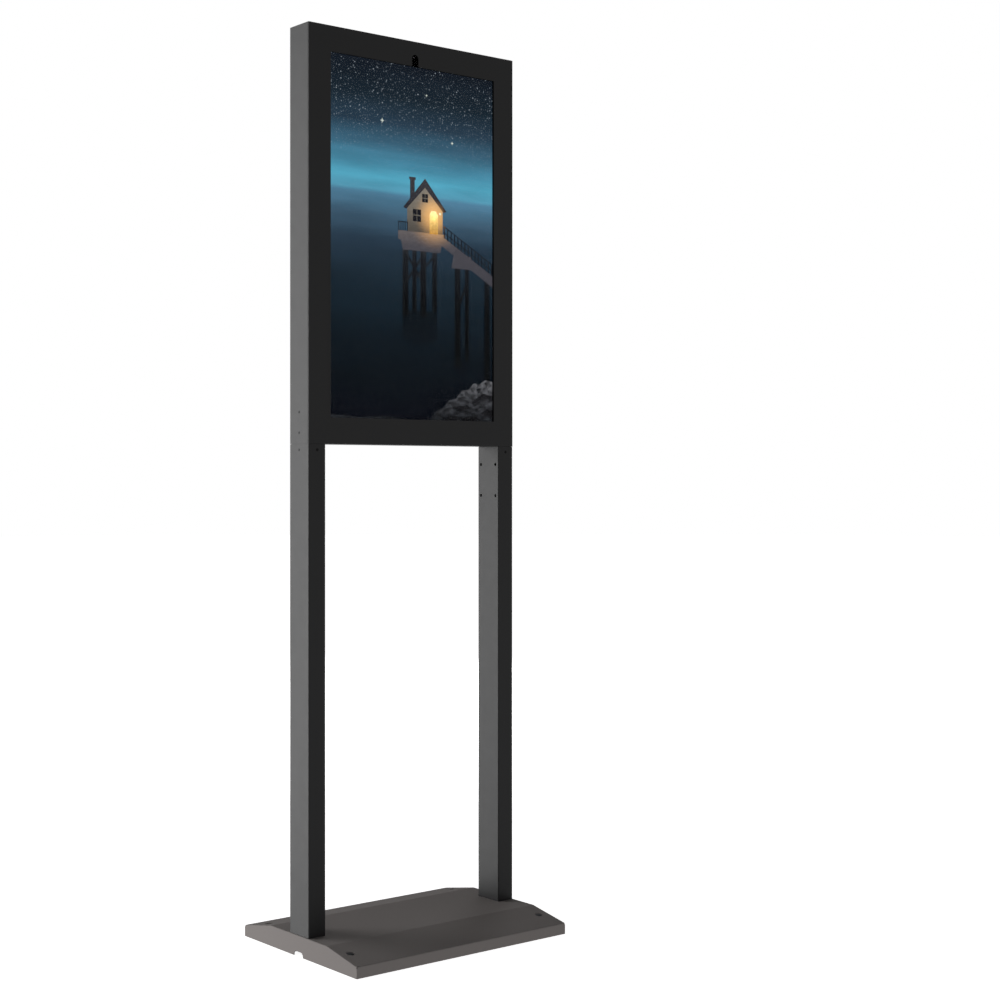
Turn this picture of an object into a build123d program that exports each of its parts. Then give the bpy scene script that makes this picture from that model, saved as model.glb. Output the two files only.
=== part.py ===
from build123d import *
import os
from math import radians, tan

os.makedirs("parts", exist_ok=True)

# Free-standing portrait display kiosk of folded steel sheet: a slim cabinet on two box-section
# legs, on a low ballasted base. Millimetres. The origin is the middle of the base on the floor,
# +X is to the visitor's right, +Y is to the back and +Z is up.

# ---- Driving dimensions -------------------------------------------------------------------
overall_height = 1730.0
cabinet_width = 487.0
cabinet_height = 778.0
cabinet_depth = 65.0
leg_width = 37.0
base_reach = 2.0          # base past the cabinet's sides
base_depth = 381.0
base_height = 40.0

cabinet_sheet = 1.5      # bezel, frame, door, legs
joiner_sheet = 2.0       # channels that tie the legs into the cabinet
base_sheet = 2.0         # base cover and its ends
bend = 0.5               # inside radius of every fold

base_edge_height = 22.4  # upright edge of the cover, below its slopes
base_plateau = 190.0     # flat top of the cover, front to back
base_floor_gap = 1.0     # the cover hangs this far off the floor
pad_diameter = 30.0
pad_height = 2.0
pad_inset = 30.0         # pad centre to the ballast's edges
ballast_thickness = 14.0
ballast_side_gap = 7.5   # ballast to the outside of the base, all round
ballast_slot_length = 40.0
ballast_slot_width = 60.0
spacer_diameter = 16.0
spacer_x, spacer_y = 120.0, 60.0
ballast_bolt = 6.0
anchor_bore = 16.0       # round holes at the base's corners, for fixing down
anchor_inset_x, anchor_inset_y = 22.5, 52.5   # from the base's edges
sleeve_diameter = 22.0
notch_width = 31.0       # cable notch at floor level in both ends of the base
notch_height = 10.0
notch_radius = 7.0
relief_size = 3.0        # bend relief where an end meets the upright edges

leg_corner_radius = 2.0
seam = 0.3               # joint line between a leg and the cabinet
foot_thickness = 8.0
leg_plate_thickness = 6.0
leg_plate_depth = 120.0
leg_plate_inset = 3.0
leg_bolt = 8.0
leg_bolt_pitch = 40.0
grommet_bore = 18.0
grommet_diameter = 24.0
accessory_bore = 6.4     # threaded-insert holes near the leg tops
accessory_drops = (36.0, 98.6)   # below the cabinet
accessory_pitch = 46.0   # across the inner face of a leg

joiner_drop = 112.0      # length of a joiner inside the leg
joiner_rise = 83.0       # length of a joiner inside the cabinet
joiner_neck = 14.0       # height above the seam at which a joiner narrows
joiner_gap = 0.2

bezel_side = 48.5
bezel_top = 48.0
bezel_bottom = 49.2
eye_width = 15.5         # arched notch in the bezel above the screen, in front of the sensor
eye_height = 22.8

strip_side = 14.9        # rear face of the frame beside the door
strip_top = 14.4
strip_bottom = 16.6
lip_depth = 9.0
front_flange = 12.0
mitre_gap = 0.15

door_gap = 1.2
door_return = 10.0
pin_diameter = 4.0
pin_head = 5.6
pin_clearance = 0.05     # radial, pin in its holes
hinge_rise = 5.7         # hinge axis above the door's lower edge
hinge_inset = 4.5        # hinge axis behind the door's outer face
vent_width, vent_length = 5.0, 61.5
vent_first, vent_pitch, vent_count = 48.6, 38.8, 4
vent_drop = 51.9         # door's top edge to the upper vents
vent_rise = 54.2         # door's bottom edge to the lower vents

lock_drop = 41.0         # lock axis below the cabinet's top
lock_head, lock_head_height = 25.0, 2.1
barrel_diameter, barrel_depth = 19.0, 14.0
plug_diameter = 12.0
plug_clearance = 0.05    # radial, plug in its barrel
cam_square = 8.0
cam_thickness, cam_width, cam_length = 3.0, 14.0, 30.0
nut_across, nut_thickness = 24.0, 4.0
moving_gap = 0.3         # between flat faces that pass each other
keeper_thickness, keeper_width, keeper_drop = 2.0, 40.0, 20.5

tape_thickness = 0.5
glass_thickness = 3.0
glass_overlap = 17.0     # glass behind the bezel, past the window's edges
print_thickness = 0.2    # black border print, and the touch film inside it
print_reveal = 0.5       # border print past the window's edge
cell_thickness = 2.0
cell_margin = 6.0        # display cell past the window
module_margin_x = 8.0    # display module past the window
module_margin_z = 14.9
module_depth = 13.5      # backlight tray, front to back
module_sheet = 1.0
diffuser_thickness = 6.0
led_strip_width = 8.0
face_frame = 0.8         # thin steel frame round the display cell
rail_x, rail_width, rail_crown, rail_height = 125.0, 50.0, 25.0, 8.0
rail_tab = 20.0

plate_width, plate_height, plate_rise = 320.0, 400.0, 178.0
plate_thickness = 1.5
board_thickness, standoff_height, standoff_diameter = 1.6, 6.0, 6.0
board_width, board_height = 160.0, 110.0
touch_board_width, touch_board_height = 90.0, 40.0
supply_width, supply_height, supply_depth = 160.0, 98.0, 28.0
speaker_width, speaker_height, speaker_depth = 44.0, 90.0, 20.0
speaker_rise = 60.0

bracket_x = 60.0         # upright plate that carries the mains inlet and its switch
bracket_depth = 28.0
inlet_rise = 68.0        # inlet's middle above the cabinet's bottom
inlet_height, inlet_width, inlet_depth = 30.0, 21.0, 20.0
socket_height, socket_width, socket_depth = 26.0, 17.0, 15.0
inlet_flange = (50.0, 24.0, 2.5)
switch_rise = 40.0       # switch's middle above the inlet's
switch_height, switch_width, switch_depth = 19.0, 13.0, 12.0
rocker_tilt = 8.0        # degrees each side of level
rocker_pin = 2.0

screw_diameter, screw_head, screw_head_height, screw_length = 3.0, 5.5, 1.25, 6.0
mains_lead_diameter, board_lead_diameter, speaker_lead_diameter = 7.0, 4.5, 3.0

# ---- Places worked out from them ----------------------------------------------------------
half_width = cabinet_width / 2
front, back = -cabinet_depth / 2, cabinet_depth / 2
top, bottom = overall_height, overall_height - cabinet_height
half_base, half_base_depth = half_width + base_reach, base_depth / 2
anchor_x, anchor_y = half_base - anchor_inset_x, half_base_depth - anchor_inset_y
leg_inner = half_width - leg_width
leg_middle = half_width - leg_width / 2
sheet = cabinet_sheet
bezel_back = front + sheet
inside_back = back - sheet
ballast_top = pad_height + ballast_thickness
under_cover = base_height - base_sheet

window_x = half_width - bezel_side
window_low, window_high = bottom + bezel_bottom, top - bezel_top
window_middle = (window_low + window_high) / 2
opening_x = half_width - strip_side
opening_low, opening_high = bottom + strip_bottom, top - strip_top
door_x = opening_x - door_gap
door_low, door_high = opening_low + door_gap, opening_high - door_gap
hinge_y, hinge_z = back - hinge_inset, door_low + hinge_rise
lock_z = top - lock_drop
cam_front = back - barrel_depth - moving_gap
cam_back = cam_front - cam_thickness

glass_front = bezel_back + tape_thickness
glass_back = glass_front + glass_thickness
face_y = glass_back + print_thickness
cell_front = face_y + face_frame
tray_front = cell_front + cell_thickness
module_back = tray_front + module_depth
rail_back = module_back + rail_height
plate_back = rail_back + plate_thickness
board_front = plate_back + standoff_height
board_back = board_front + board_thickness
glass_x = window_x + glass_overlap
module_x = window_x + module_margin_x
module_low, module_high = window_low - module_margin_z, window_high + module_margin_z
plate_low = bottom + plate_rise
plate_high = plate_low + plate_height
inlet_y = rail_back + 16.0
inlet_z = bottom + inlet_rise
switch_z = inlet_z + switch_rise

X, Y, Z = Vector(1, 0, 0), Vector(0, 1, 0), Vector(0, 0, 1)
FROM_START = (Align.CENTER, Align.CENTER, Align.MIN)


# ---- Shapes used throughout ---------------------------------------------------------------
def block(x_span, y_span, z_span):
    """Block between a low and a high value along each axis."""
    spans = (x_span, y_span, z_span)
    middle = [(low + high) / 2 for low, high in spans]
    return Pos(*middle) * Box(*[high - low for low, high in spans])


def rod(start, along, radius, length):
    """Round bar from a point, in a direction."""
    return Plane(origin=start, z_dir=along) * Cylinder(radius, length, align=FROM_START)


def tube(start, along, outer, inner, length):
    """Round tube from a point, in a direction."""
    return rod(start, along, outer, length) - rod(start, along, inner, length)


def plate_facing_x(outline, x_low, thickness):
    """Flat plate with an outline of (y, z) points."""
    face = Plane(origin=(x_low, 0, 0), x_dir=Y, z_dir=X) * Polygon(*outline, align=None)
    return extrude(face, amount=thickness, dir=X)


def plate_facing_y(outline, y_low, thickness):
    """Flat plate with an outline of (x, z) points."""
    face = Plane(origin=(0, y_low, 0), x_dir=X, z_dir=-Y) * Polygon(*outline, align=None)
    return extrude(face, amount=thickness, dir=Y)


def ring(half_x, z_span, inner_x, inner_z, y_low, thickness):
    """Flat rectangular frame that faces the visitor."""
    y_span = (y_low, y_low + thickness)
    return block((-half_x, half_x), y_span, z_span) - block((-inner_x, inner_x), y_span, inner_z)


def folded_section(points, thickness):
    """Section of a sheet folded along a path, with its thickness to the left of the path."""
    path = [Vector(*point) for point in points]
    runs = [(end - start).normalized() for start, end in zip(path, path[1:])]
    lefts = [Vector(-run.Y, run.X) for run in runs]
    other = [path[0] + lefts[0] * thickness]
    path_radii, other_radii = [], []
    for index, corner in enumerate(path[1:-1]):
        left, next_left = lefts[index], lefts[index + 1]
        other.append(corner + (left + next_left) * (thickness / (1 + left.dot(next_left))))
        turns_left = runs[index].cross(runs[index + 1]).Z > 0
        path_radii.append(bend + thickness if turns_left else bend)
        other_radii.append(bend if turns_left else bend + thickness)
    other.append(path[-1] + lefts[-1] * thickness)
    sides = FilletPolyline(*path, radius=path_radii), FilletPolyline(*other, radius=other_radii)
    ends = Line(path[0], other[0]), Line(path[-1], other[-1])
    return make_face([edge for line in sides + ends for edge in line.edges()])


def extruded(section, origin, across, along, length):
    """A section drawn in (across, its other axis), run along a direction."""
    face = Plane(origin=origin, x_dir=across, z_dir=along) * section
    return extrude(face, amount=length, dir=along)


def mirrored(shape):
    """The same piece on the other side of the middle."""
    return mirror(shape, about=Plane.YZ)


def screw(point, inward, length=screw_length, clearance=0.0):
    """Countersunk screw whose head is flush with a face; with a clearance, the hole for it."""
    place = Plane(origin=point, z_dir=inward)
    head = Cone(screw_head / 2 + clearance, screw_diameter / 2 + clearance, screw_head_height,
                align=FROM_START)
    shank = Cylinder(screw_diameter / 2 + clearance, length, align=FROM_START)
    body = place * (head + shank)
    if clearance:
        return body
    return body - place * extrude(RegularPolygon(1.1, 6), amount=1.0)


def pan_screw(point, inward, length, diameter=3.0):
    """Pan-head screw; the underside of its head is at the point."""
    head = rod(point, -inward, diameter, diameter * 0.6)
    return head + rod(point, inward, diameter / 2, length)


def lead(points, diameter):
    """Round lead: straight runs joined by tangent arcs as large as the runs allow."""
    path = [Vector(*point) for point in points]
    radii = []
    for before, corner, after in zip(path, path[1:], path[2:]):
        arriving, leaving = corner - before, after - corner
        shorter = min(arriving.length, leaving.length)
        radii.append(0.45 * shorter / tan(radians(arriving.get_angle(leaving)) / 2))
    print("lead radii", [round(radius, 1) for radius in radii])
    line = FilletPolyline(*path, radius=radii)
    section = Plane(origin=path[0], z_dir=path[1] - path[0]) * Circle(diameter / 2)
    return sweep(section, path=line)


def save(name, *pieces):
    """Write one node: a single solid, or a group of like solids."""
    solids = [solid for piece in pieces for solid in piece.solids()]
    export_step(solids[0] if len(solids) == 1 else Compound(children=solids), f"parts/{name}.step")


# ---- Base ---------------------------------------------------------------------------------
cover_outline = [
    (-half_base_depth, base_floor_gap), (-half_base_depth, base_edge_height),
    (-base_plateau / 2, base_height), (base_plateau / 2, base_height),
    (half_base_depth, base_edge_height), (half_base_depth, base_floor_gap),
]
cover_length = 2 * (half_base - base_sheet)
cover_section = folded_section(list(reversed(cover_outline)), base_sheet)
base_cover = extruded(cover_section, (-cover_length / 2, 0, 0), Y, X, cover_length)
under_base = plate_facing_x(
    [(-half_base_depth + base_sheet, 0), (-half_base_depth + base_sheet, base_edge_height - base_sheet),
     (-base_plateau / 2, under_cover), (base_plateau / 2, under_cover),
     (half_base_depth - base_sheet, base_edge_height - base_sheet), (half_base_depth - base_sheet, 0)],
    -cover_length / 2, cover_length)
anchors = [(x, y) for x in (-anchor_x, anchor_x) for y in (-anchor_y, anchor_y)]
for x, y in anchors:
    base_cover -= rod((x, y, 0), Z, anchor_bore / 2, base_height)
for side in (-1, 1):
    base_cover -= rod((side * leg_middle, 0, 0), Z, grommet_diameter / 2 - 2, base_height + 5)
    for y in (-leg_bolt_pitch / 2, leg_bolt_pitch / 2):
        base_cover -= rod((side * leg_middle, y, 0), Z, leg_bolt / 2 + 0.25, base_height + 5)
save("base_cover", base_cover)

base_end = plate_facing_x(cover_outline, half_base - base_sheet, base_sheet)
base_end = fillet(base_end.edges().filter_by(lambda e: e.center().X > half_base - 0.01
                                             and e.center().Z > base_edge_height - 5), base_sheet * 0.7)
notch = block((half_base - 2 * base_sheet, half_base + 1), (-notch_width / 2, notch_width / 2),
              (-5, notch_height))
notch = fillet(notch.edges().filter_by(Axis.X).group_by(Axis.Z)[-1], notch_radius)
base_end -= notch
for side in (-1, 1):
    corner = side * half_base_depth
    base_end -= block((half_base - base_sheet, half_base + 1),
                      (corner - relief_size / 2, corner + relief_size / 2),
                      (base_edge_height - relief_size, base_edge_height + relief_size))
save("base_end_right", base_end)
save("base_end_left", mirrored(base_end))

ballast_x, ballast_y = half_base - ballast_side_gap, half_base_depth - ballast_side_gap
ballast = block((-ballast_x, ballast_x), (-ballast_y, ballast_y), (pad_height, ballast_top))
ballast = fillet(ballast.edges().filter_by(Axis.Z), 4)
for side in (-1, 1):
    slot_span = sorted((side * (ballast_x - ballast_slot_length), side * (ballast_x + 1)))
    ballast -= block(slot_span, (-ballast_slot_width / 2, ballast_slot_width / 2), (0, base_height))
for x, y in anchors:
    ballast -= rod((x, y, 0), Z, sleeve_diameter / 2 + 0.5, base_height)
spacers, ballast_bolts = [], []
for x in (-spacer_x, spacer_x):
    for y in (-spacer_y, spacer_y):
        ballast -= rod((x, y, 0), Z, ballast_bolt / 2 + 0.2, base_height)
        ballast -= Pos(x, y, pad_height) * Cone(ballast_bolt + 0.2, ballast_bolt / 2 + 0.2,
                                                ballast_bolt / 2, align=FROM_START)
        spacers.append(tube((x, y, ballast_top), Z, spacer_diameter / 2, ballast_bolt / 2 + 0.05,
                            under_cover - ballast_top))
        shank = rod((x, y, pad_height), Z, ballast_bolt / 2, ballast_thickness + 14)
        head = Pos(x, y, pad_height) * Cone(ballast_bolt, ballast_bolt / 2, ballast_bolt / 2,
                                            align=FROM_START)
        socket = extrude(Pos(x, y, pad_height) * RegularPolygon(2.3, 6), amount=2.0)
        ballast_bolts.append(shank + head - socket)
save("base_ballast", ballast)
save("ballast_spacers", *spacers)
save("ballast_bolts", *ballast_bolts)

sleeves = []
for x, y in anchors:
    sleeve = tube((x, y, base_floor_gap), Z, sleeve_diameter / 2, anchor_bore / 2, base_height)
    sleeves.append(sleeve & under_base)
save("anchor_sleeves", *sleeves)

pads = []
for x in (-ballast_x + pad_inset, ballast_x - pad_inset):
    for y in (-ballast_y + pad_inset / 2 + 5, ballast_y - pad_inset / 2 - 5):
        pad = rod((x, y, 0), Z, pad_diameter / 2, pad_height)
        pads.append(chamfer(pad.edges().group_by(Axis.Z)[0], 0.5))
save("base_pads", *pads)

# ---- Legs ---------------------------------------------------------------------------------
leg_top = bottom - seam
leg_outline = RectangleRounded(leg_width, cabinet_depth, leg_corner_radius)
leg_hollow = RectangleRounded(leg_width - 2 * sheet, cabinet_depth - 2 * sheet,
                              leg_corner_radius - sheet)
leg = Pos(leg_middle, 0, base_height) * extrude(leg_outline - leg_hollow, amount=leg_top - base_height)
accessory_heights = [bottom - drop for drop in accessory_drops]
for z in accessory_heights:
    for y in (-accessory_pitch / 2, accessory_pitch / 2):
        leg -= rod((leg_inner - 1, y, z), X, accessory_bore / 2, sheet + 2)
    leg -= rod((leg_middle, back + 1, z), -Y, accessory_bore / 2, sheet + 2)

side_screws = [(half_width, 0, bottom + rise) for rise in (59.0, 20.6)]
rear_screws = [(half_width - 8.5, back, bottom + rise) for rise in (63.5, 24.2, 9.7)]
rear_screws.append((half_width - 23.0, back, bottom + 9.7))
leg_screw_z = bottom - 11.2
leg_screws = [((half_width, 0, leg_screw_z), -X), ((leg_middle, back, leg_screw_z), -Y),
              ((leg_middle, front, leg_screw_z), Y)]
frame_screws = leg_screws + [(spot, -X) for spot in side_screws] + [(spot, -Y) for spot in rear_screws]
for spot, inward in leg_screws:
    leg -= screw(spot, inward, clearance=0.1)
save("leg_right", leg)
save("leg_left", mirrored(leg))

foot_span_x = (leg_inner + sheet + joiner_gap, half_width - sheet - joiner_gap)
foot_span_y = (front + sheet + joiner_gap, back - sheet - joiner_gap)
foot = block(foot_span_x, foot_span_y, (base_height, base_height + foot_thickness))
foot -= rod((leg_middle, 0, 0), Z, grommet_diameter / 2, overall_height)
plate_span_x = (leg_inner - leg_plate_inset, half_width - leg_plate_inset)
leg_plate = block(plate_span_x, (-leg_plate_depth / 2, leg_plate_depth / 2),
                  (under_cover - leg_plate_thickness, under_cover))
leg_plate -= rod((leg_middle, 0, 0), Z, grommet_diameter / 2, base_height)
leg_bolts = []
bolt_under = under_cover - leg_plate_thickness
for y in (-leg_bolt_pitch / 2, leg_bolt_pitch / 2):
    foot -= rod((leg_middle, y, 0), Z, leg_bolt / 2 + 0.05, overall_height)
    leg_plate -= rod((leg_middle, y, 0), Z, leg_bolt / 2 + 0.25, base_height)
    hexagon = Pos(leg_middle, y, bolt_under - 5.3) * extrude(RegularPolygon(7.5, 6), amount=5.3)
    shank_length = foot_thickness + base_height - bolt_under - 0.5
    leg_bolts.append(hexagon + rod((leg_middle, y, bolt_under), Z, leg_bolt / 2, shank_length))
save("leg_feet", foot, mirrored(foot))
save("leg_plates", leg_plate, mirrored(leg_plate))
save("leg_bolts", *leg_bolts, *[mirrored(bolt) for bolt in leg_bolts])

lower_flange = tube((leg_middle, 0, under_cover - 1.5), Z, grommet_diameter / 2 - 0.2,
                    grommet_bore / 2, 1.5)
waist = tube((leg_middle, 0, under_cover), Z, grommet_diameter / 2 - 2, grommet_bore / 2, base_sheet)
upper_flange = tube((leg_middle, 0, base_height), Z, grommet_diameter / 2 - 0.2, grommet_bore / 2, 1.5)
grommet = lower_flange + waist + upper_flange
save("cable_grommets", grommet, mirrored(grommet))

# ---- Joiners: channels screwed inside both a leg and the cabinet's side --------------------
joiner_outer = half_width - sheet - joiner_gap
joiner_y = back - sheet - joiner_gap
joiner_wide = leg_inner + sheet + joiner_gap
joiner_slim = opening_x + sheet + 0.5
joiner_section = folded_section(
    [(joiner_wide, -joiner_y), (joiner_outer, -joiner_y), (joiner_outer, joiner_y),
     (joiner_wide, joiner_y)], joiner_sheet)
joiner_low = bottom - joiner_drop
joiner = extruded(joiner_section, (0, 0, joiner_low), X, Z, joiner_drop + joiner_rise)
joiner -= block((0, joiner_slim), (-cabinet_depth, cabinet_depth), (bottom + joiner_neck, top))
joiner -= block((0, joiner_slim + 1.6), (0, cabinet_depth),
                (hinge_z - pin_diameter / 2 - 4, hinge_z + pin_diameter / 2 + 4))
for spot, inward in frame_screws:
    joiner -= rod(spot, inward, screw_diameter / 2 + 0.05, 2 * screw_length)
for z in accessory_heights:
    joiner -= rod((leg_middle, back, z), -Y, accessory_bore / 2, 2 * sheet + joiner_sheet)
save("joiner_right", joiner)
save("joiner_left", mirrored(joiner))

# ---- Cabinet frame: four mitred channels --------------------------------------------------
def channel_section(strip, lip):
    """Channel with a lip: first axis inwards from the outer face, second axis to the back."""
    path = [(front_flange, bezel_back), (0, bezel_back), (0, back), (strip, back)]
    if lip:
        path.append((strip, inside_back - lip_depth))
    return folded_section(list(reversed(path)), sheet)


# The mitres run from the cabinet's corners to the door opening's corners.
mitre_reach = 60.0
low_reach, high_reach = mitre_reach * strip_bottom / strip_side, mitre_reach * strip_top / strip_side
mitre_x = half_width - mitre_reach
side_outline = [(half_width, bottom + mitre_gap), (half_width, top - mitre_gap),
                (mitre_x, top - mitre_gap - high_reach), (mitre_x, bottom + mitre_gap + low_reach)]
top_outline = [(-half_width, top), (half_width, top), (mitre_x, top - high_reach),
               (-mitre_x, top - high_reach)]
bottom_outline = [(-half_width, bottom), (half_width, bottom), (mitre_x, bottom + low_reach),
                  (-mitre_x, bottom + low_reach)]


def mitred(channel, outline):
    """Trim a channel to its mitred outline, seen from the front."""
    return channel & plate_facing_y(outline, front - 1, cabinet_depth + 2)


side_channel = extruded(channel_section(strip_side, True), (-half_width, 0, bottom), X, Z,
                        cabinet_height)
side_channel = mitred(mirrored(side_channel), side_outline)
pocket_y = (front, bezel_back + sheet + 0.1)
side_channel -= block((leg_inner, half_width - sheet), pocket_y, (0, bottom + joiner_rise + 5))
side_channel -= rod((opening_x - 1, hinge_y, hinge_z), X, pin_diameter / 2 + pin_clearance, sheet + 2)
for spot, inward in frame_screws[3:]:
    side_channel -= screw(spot, inward, clearance=0.1)
save("frame_right", side_channel)
save("frame_left", mirrored(side_channel))

top_channel = extruded(channel_section(strip_top, True), (-half_width, 0, top), -Z, X, cabinet_width)
top_channel = mitred(top_channel, top_outline)
bottom_channel = extruded(channel_section(strip_bottom, False), (half_width, 0, bottom), Z, -X,
                          cabinet_width)
bottom_channel = mitred(bottom_channel, bottom_outline)
for side in (-1, 1):
    pocket_x = sorted((side * (leg_inner + 1), side * (half_width + 1)))
    bottom_channel -= block(pocket_x, (front, inside_back - 0.1), (0, opening_low + 1))
    for x, y, z in rear_screws[2:]:
        bottom_channel -= screw((side * x, y, z), -Y, clearance=0.1)
rail_spots = [(side * rail_x, rail_back + 8.0) for side in (-1, 1)]
for x, y in rail_spots:
    bottom_channel -= rod((x, y, bottom - 1), Z, 1.6, sheet + 2)
    top_channel -= rod((x, y, top + 1), -Z, 1.6, sheet + 2)

# ---- Front bezel --------------------------------------------------------------------------
bezel = block((-half_width, half_width), (front, bezel_back), (bottom, top))
bezel = fillet(bezel.edges().group_by(Axis.Y)[0], 0.6)
bezel -= block((-window_x, window_x), (front - 1, bezel_back + 1), (window_low, window_high))
eye_radius = eye_width / 2
eye_centre = window_high + eye_height - eye_radius
bezel -= block((-eye_radius, eye_radius), (front - 1, bezel_back + 1), (window_high - 1, eye_centre))
bezel -= rod((0, front - 1, eye_centre), Y, eye_radius, sheet + 2)
save("front_bezel", bezel)

# ---- Display stack ------------------------------------------------------------------------
glass_z = (window_low - glass_overlap, window_high + eye_height + 6.0)
tape_z = (window_low - 3, window_high + eye_height + 2)
save("glass_tape", ring(glass_x - 2, (glass_z[0] + 2, glass_z[1] - 1), window_x + 3, tape_z,
                        bezel_back, tape_thickness))
glass = block((-glass_x, glass_x), (glass_front, glass_back), glass_z)
save("front_glass", chamfer(glass.edges().filter_by(Axis.Y), 2))
film_x = window_x + print_reveal
film_z = (window_low - print_reveal, window_high + print_reveal)
border = ring(glass_x - 0.5, (glass_z[0] + 0.5, glass_z[1] - 0.5), film_x + 0.1,
              (film_z[0] - 0.1, film_z[1] + 0.1), glass_back, print_thickness)
sensor_z = eye_centre + 3.5
border -= rod((0, glass_back - 1, sensor_z), Y, 1.5, 3)
save("glass_border", border)
save("touch_film", block((-film_x, film_x), (glass_back, face_y), film_z))

module_z = (module_low, module_high)
cell_z = (window_low - cell_margin - 6.0, window_high + cell_margin + 6.0)
cell_x = window_x + cell_margin
save("lcd_cell", block((-cell_x, cell_x), (cell_front, tray_front), cell_z))
frame_x = module_x + face_frame
frame_z = (module_low - face_frame, module_high + face_frame)
face = block((-frame_x, frame_x), (face_y, tray_front + 8.0), frame_z)
face -= block((-module_x - 0.1, module_x + 0.1), (cell_front, tray_front + 9.0),
              (module_low - 0.1, module_high + 0.1))
face -= block((-film_x - 1, film_x + 1), (face_y - 1, cell_front + 1), (film_z[0] - 1, film_z[1] + 1))
save("lcd_front_frame", face)
tray = block((-module_x, module_x), (tray_front, module_back), module_z)
tray_hollow_x = module_x - module_sheet
tray_hollow_z = (module_low + module_sheet, module_high - module_sheet)
tray -= block((-tray_hollow_x, tray_hollow_x), (tray_front - 1, module_back - module_sheet), tray_hollow_z)
diffuser_x = tray_hollow_x - 3
save("diffuser_stack", block((-diffuser_x, diffuser_x), (tray_front, tray_front + diffuser_thickness),
                             (tray_hollow_z[0] + 3, tray_hollow_z[1] - 3)))
strip_y = module_back - module_sheet
led_strips = []
for x in (-0.85, -0.3, 0.3, 0.85):
    strip = block((x * diffuser_x - led_strip_width / 2, x * diffuser_x + led_strip_width / 2),
                  (strip_y - 1.0, strip_y), (tray_hollow_z[0] + 10, tray_hollow_z[1] - 10))
    led_strips.append(strip)
save("led_strips", *led_strips)

sensor_board = block((-10, 10), (face_y + 1.3, face_y + 2.9), (frame_z[1] + 0.6, glass_z[1] - 0.6))
sensor_board += rod((0, face_y, sensor_z), Y, 1.4, 1.4)
save("light_sensor", sensor_board)

hat = folded_section(
    [(-rail_width / 2, module_back), (-rail_crown / 2, module_back),
     (-rail_crown / 2, rail_back - sheet), (rail_crown / 2, rail_back - sheet),
     (rail_crown / 2, module_back), (rail_width / 2, module_back)], sheet)
rail = extruded(hat, (rail_x, 0, bottom + sheet), X, Z, cabinet_height - 2 * sheet)
for low in (bottom + sheet, top - 2 * sheet):
    rail += block((rail_x - rail_tab / 2, rail_x + rail_tab / 2), (rail_back - sheet, rail_back + 14),
                  (low, low + sheet))
rail_y = rail_back + 8.0
rail -= rod((rail_x, rail_y, bottom), Z, 1.55, 5)
rail -= rod((rail_x, rail_y, top), -Z, 1.55, 5)
rail_flange_x = rail_x + (rail_width + rail_crown) / 4
panel_spots = [(rail_flange_x, z) for z in (module_low + 60, window_middle, module_high - 60)]
plate_spots = [(rail_x, z) for z in (plate_low + 15, plate_high - 15)]
for x, z in panel_spots:
    rail -= rod((x, rail_back, z), -Y, 1.55, cabinet_depth)
    for side in (-1, 1):
        tray -= rod((side * x, module_back + 1, z), -Y, 1.55, module_sheet + 2)
for x, z in plate_spots:
    rail -= rod((x, rail_back + 5, z), -Y, 1.55, 8)
save("backlight_tray", tray)
save("panel_rail_right", rail)
save("panel_rail_left", mirrored(rail))

# ---- Electronics --------------------------------------------------------------------------
plate_x = plate_width / 2
carrier = block((-plate_x, plate_x), (rail_back, plate_back), (plate_low, plate_high))
carrier = fillet(carrier.edges().filter_by(Axis.Y), 4)
for x, z in plate_spots:
    for side in (-1, 1):
        carrier -= rod((side * x, plate_back, z), -Y, 1.55, plate_thickness)
save("electronics_plate", carrier)

main_board_x = (-plate_x + 10, -plate_x + 10 + board_width)
main_board_z = (plate_high - 20 - board_height, plate_high - 20)
touch_board_x = (plate_x - 10 - touch_board_width, plate_x - 10)
touch_board_z = (plate_high - 140 - touch_board_height, plate_high - 140)
boards, standoffs, board_screws = [], [], []
for x_span, z_span in ((main_board_x, main_board_z), (touch_board_x, touch_board_z)):
    board = block(x_span, (board_front, board_back), z_span)
    for x in (x_span[0] + 5, x_span[1] - 5):
        for z in (z_span[0] + 5, z_span[1] - 5):
            board -= rod((x, board_back, z), -Y, 1.6, board_thickness)
            standoffs.append(tube((x, plate_back, z), Y, standoff_diameter / 2, 1.55, standoff_height))
            board_screws.append(pan_screw((x, board_back, z), -Y, 5.0))
    boards.append(board)
save("main_board", boards[0])
save("touch_controller", boards[1])
save("board_standoffs", *standoffs)

sink_x, sink_z = main_board_x[0] + 30, main_board_z[1] - 75
sink_size, fin_count, fin_thickness, fin_pitch = 50.0, 9, 1.5, 6.0
heat_sink = block((sink_x, sink_x + sink_size), (board_back, board_back + 3), (sink_z, sink_z + sink_size))
for index in range(fin_count):
    fin_x = sink_x + index * fin_pitch
    heat_sink += block((fin_x, fin_x + fin_thickness), (board_back + 2, board_back + 14),
                       (sink_z, sink_z + sink_size))
save("heat_sink", heat_sink)

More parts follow.
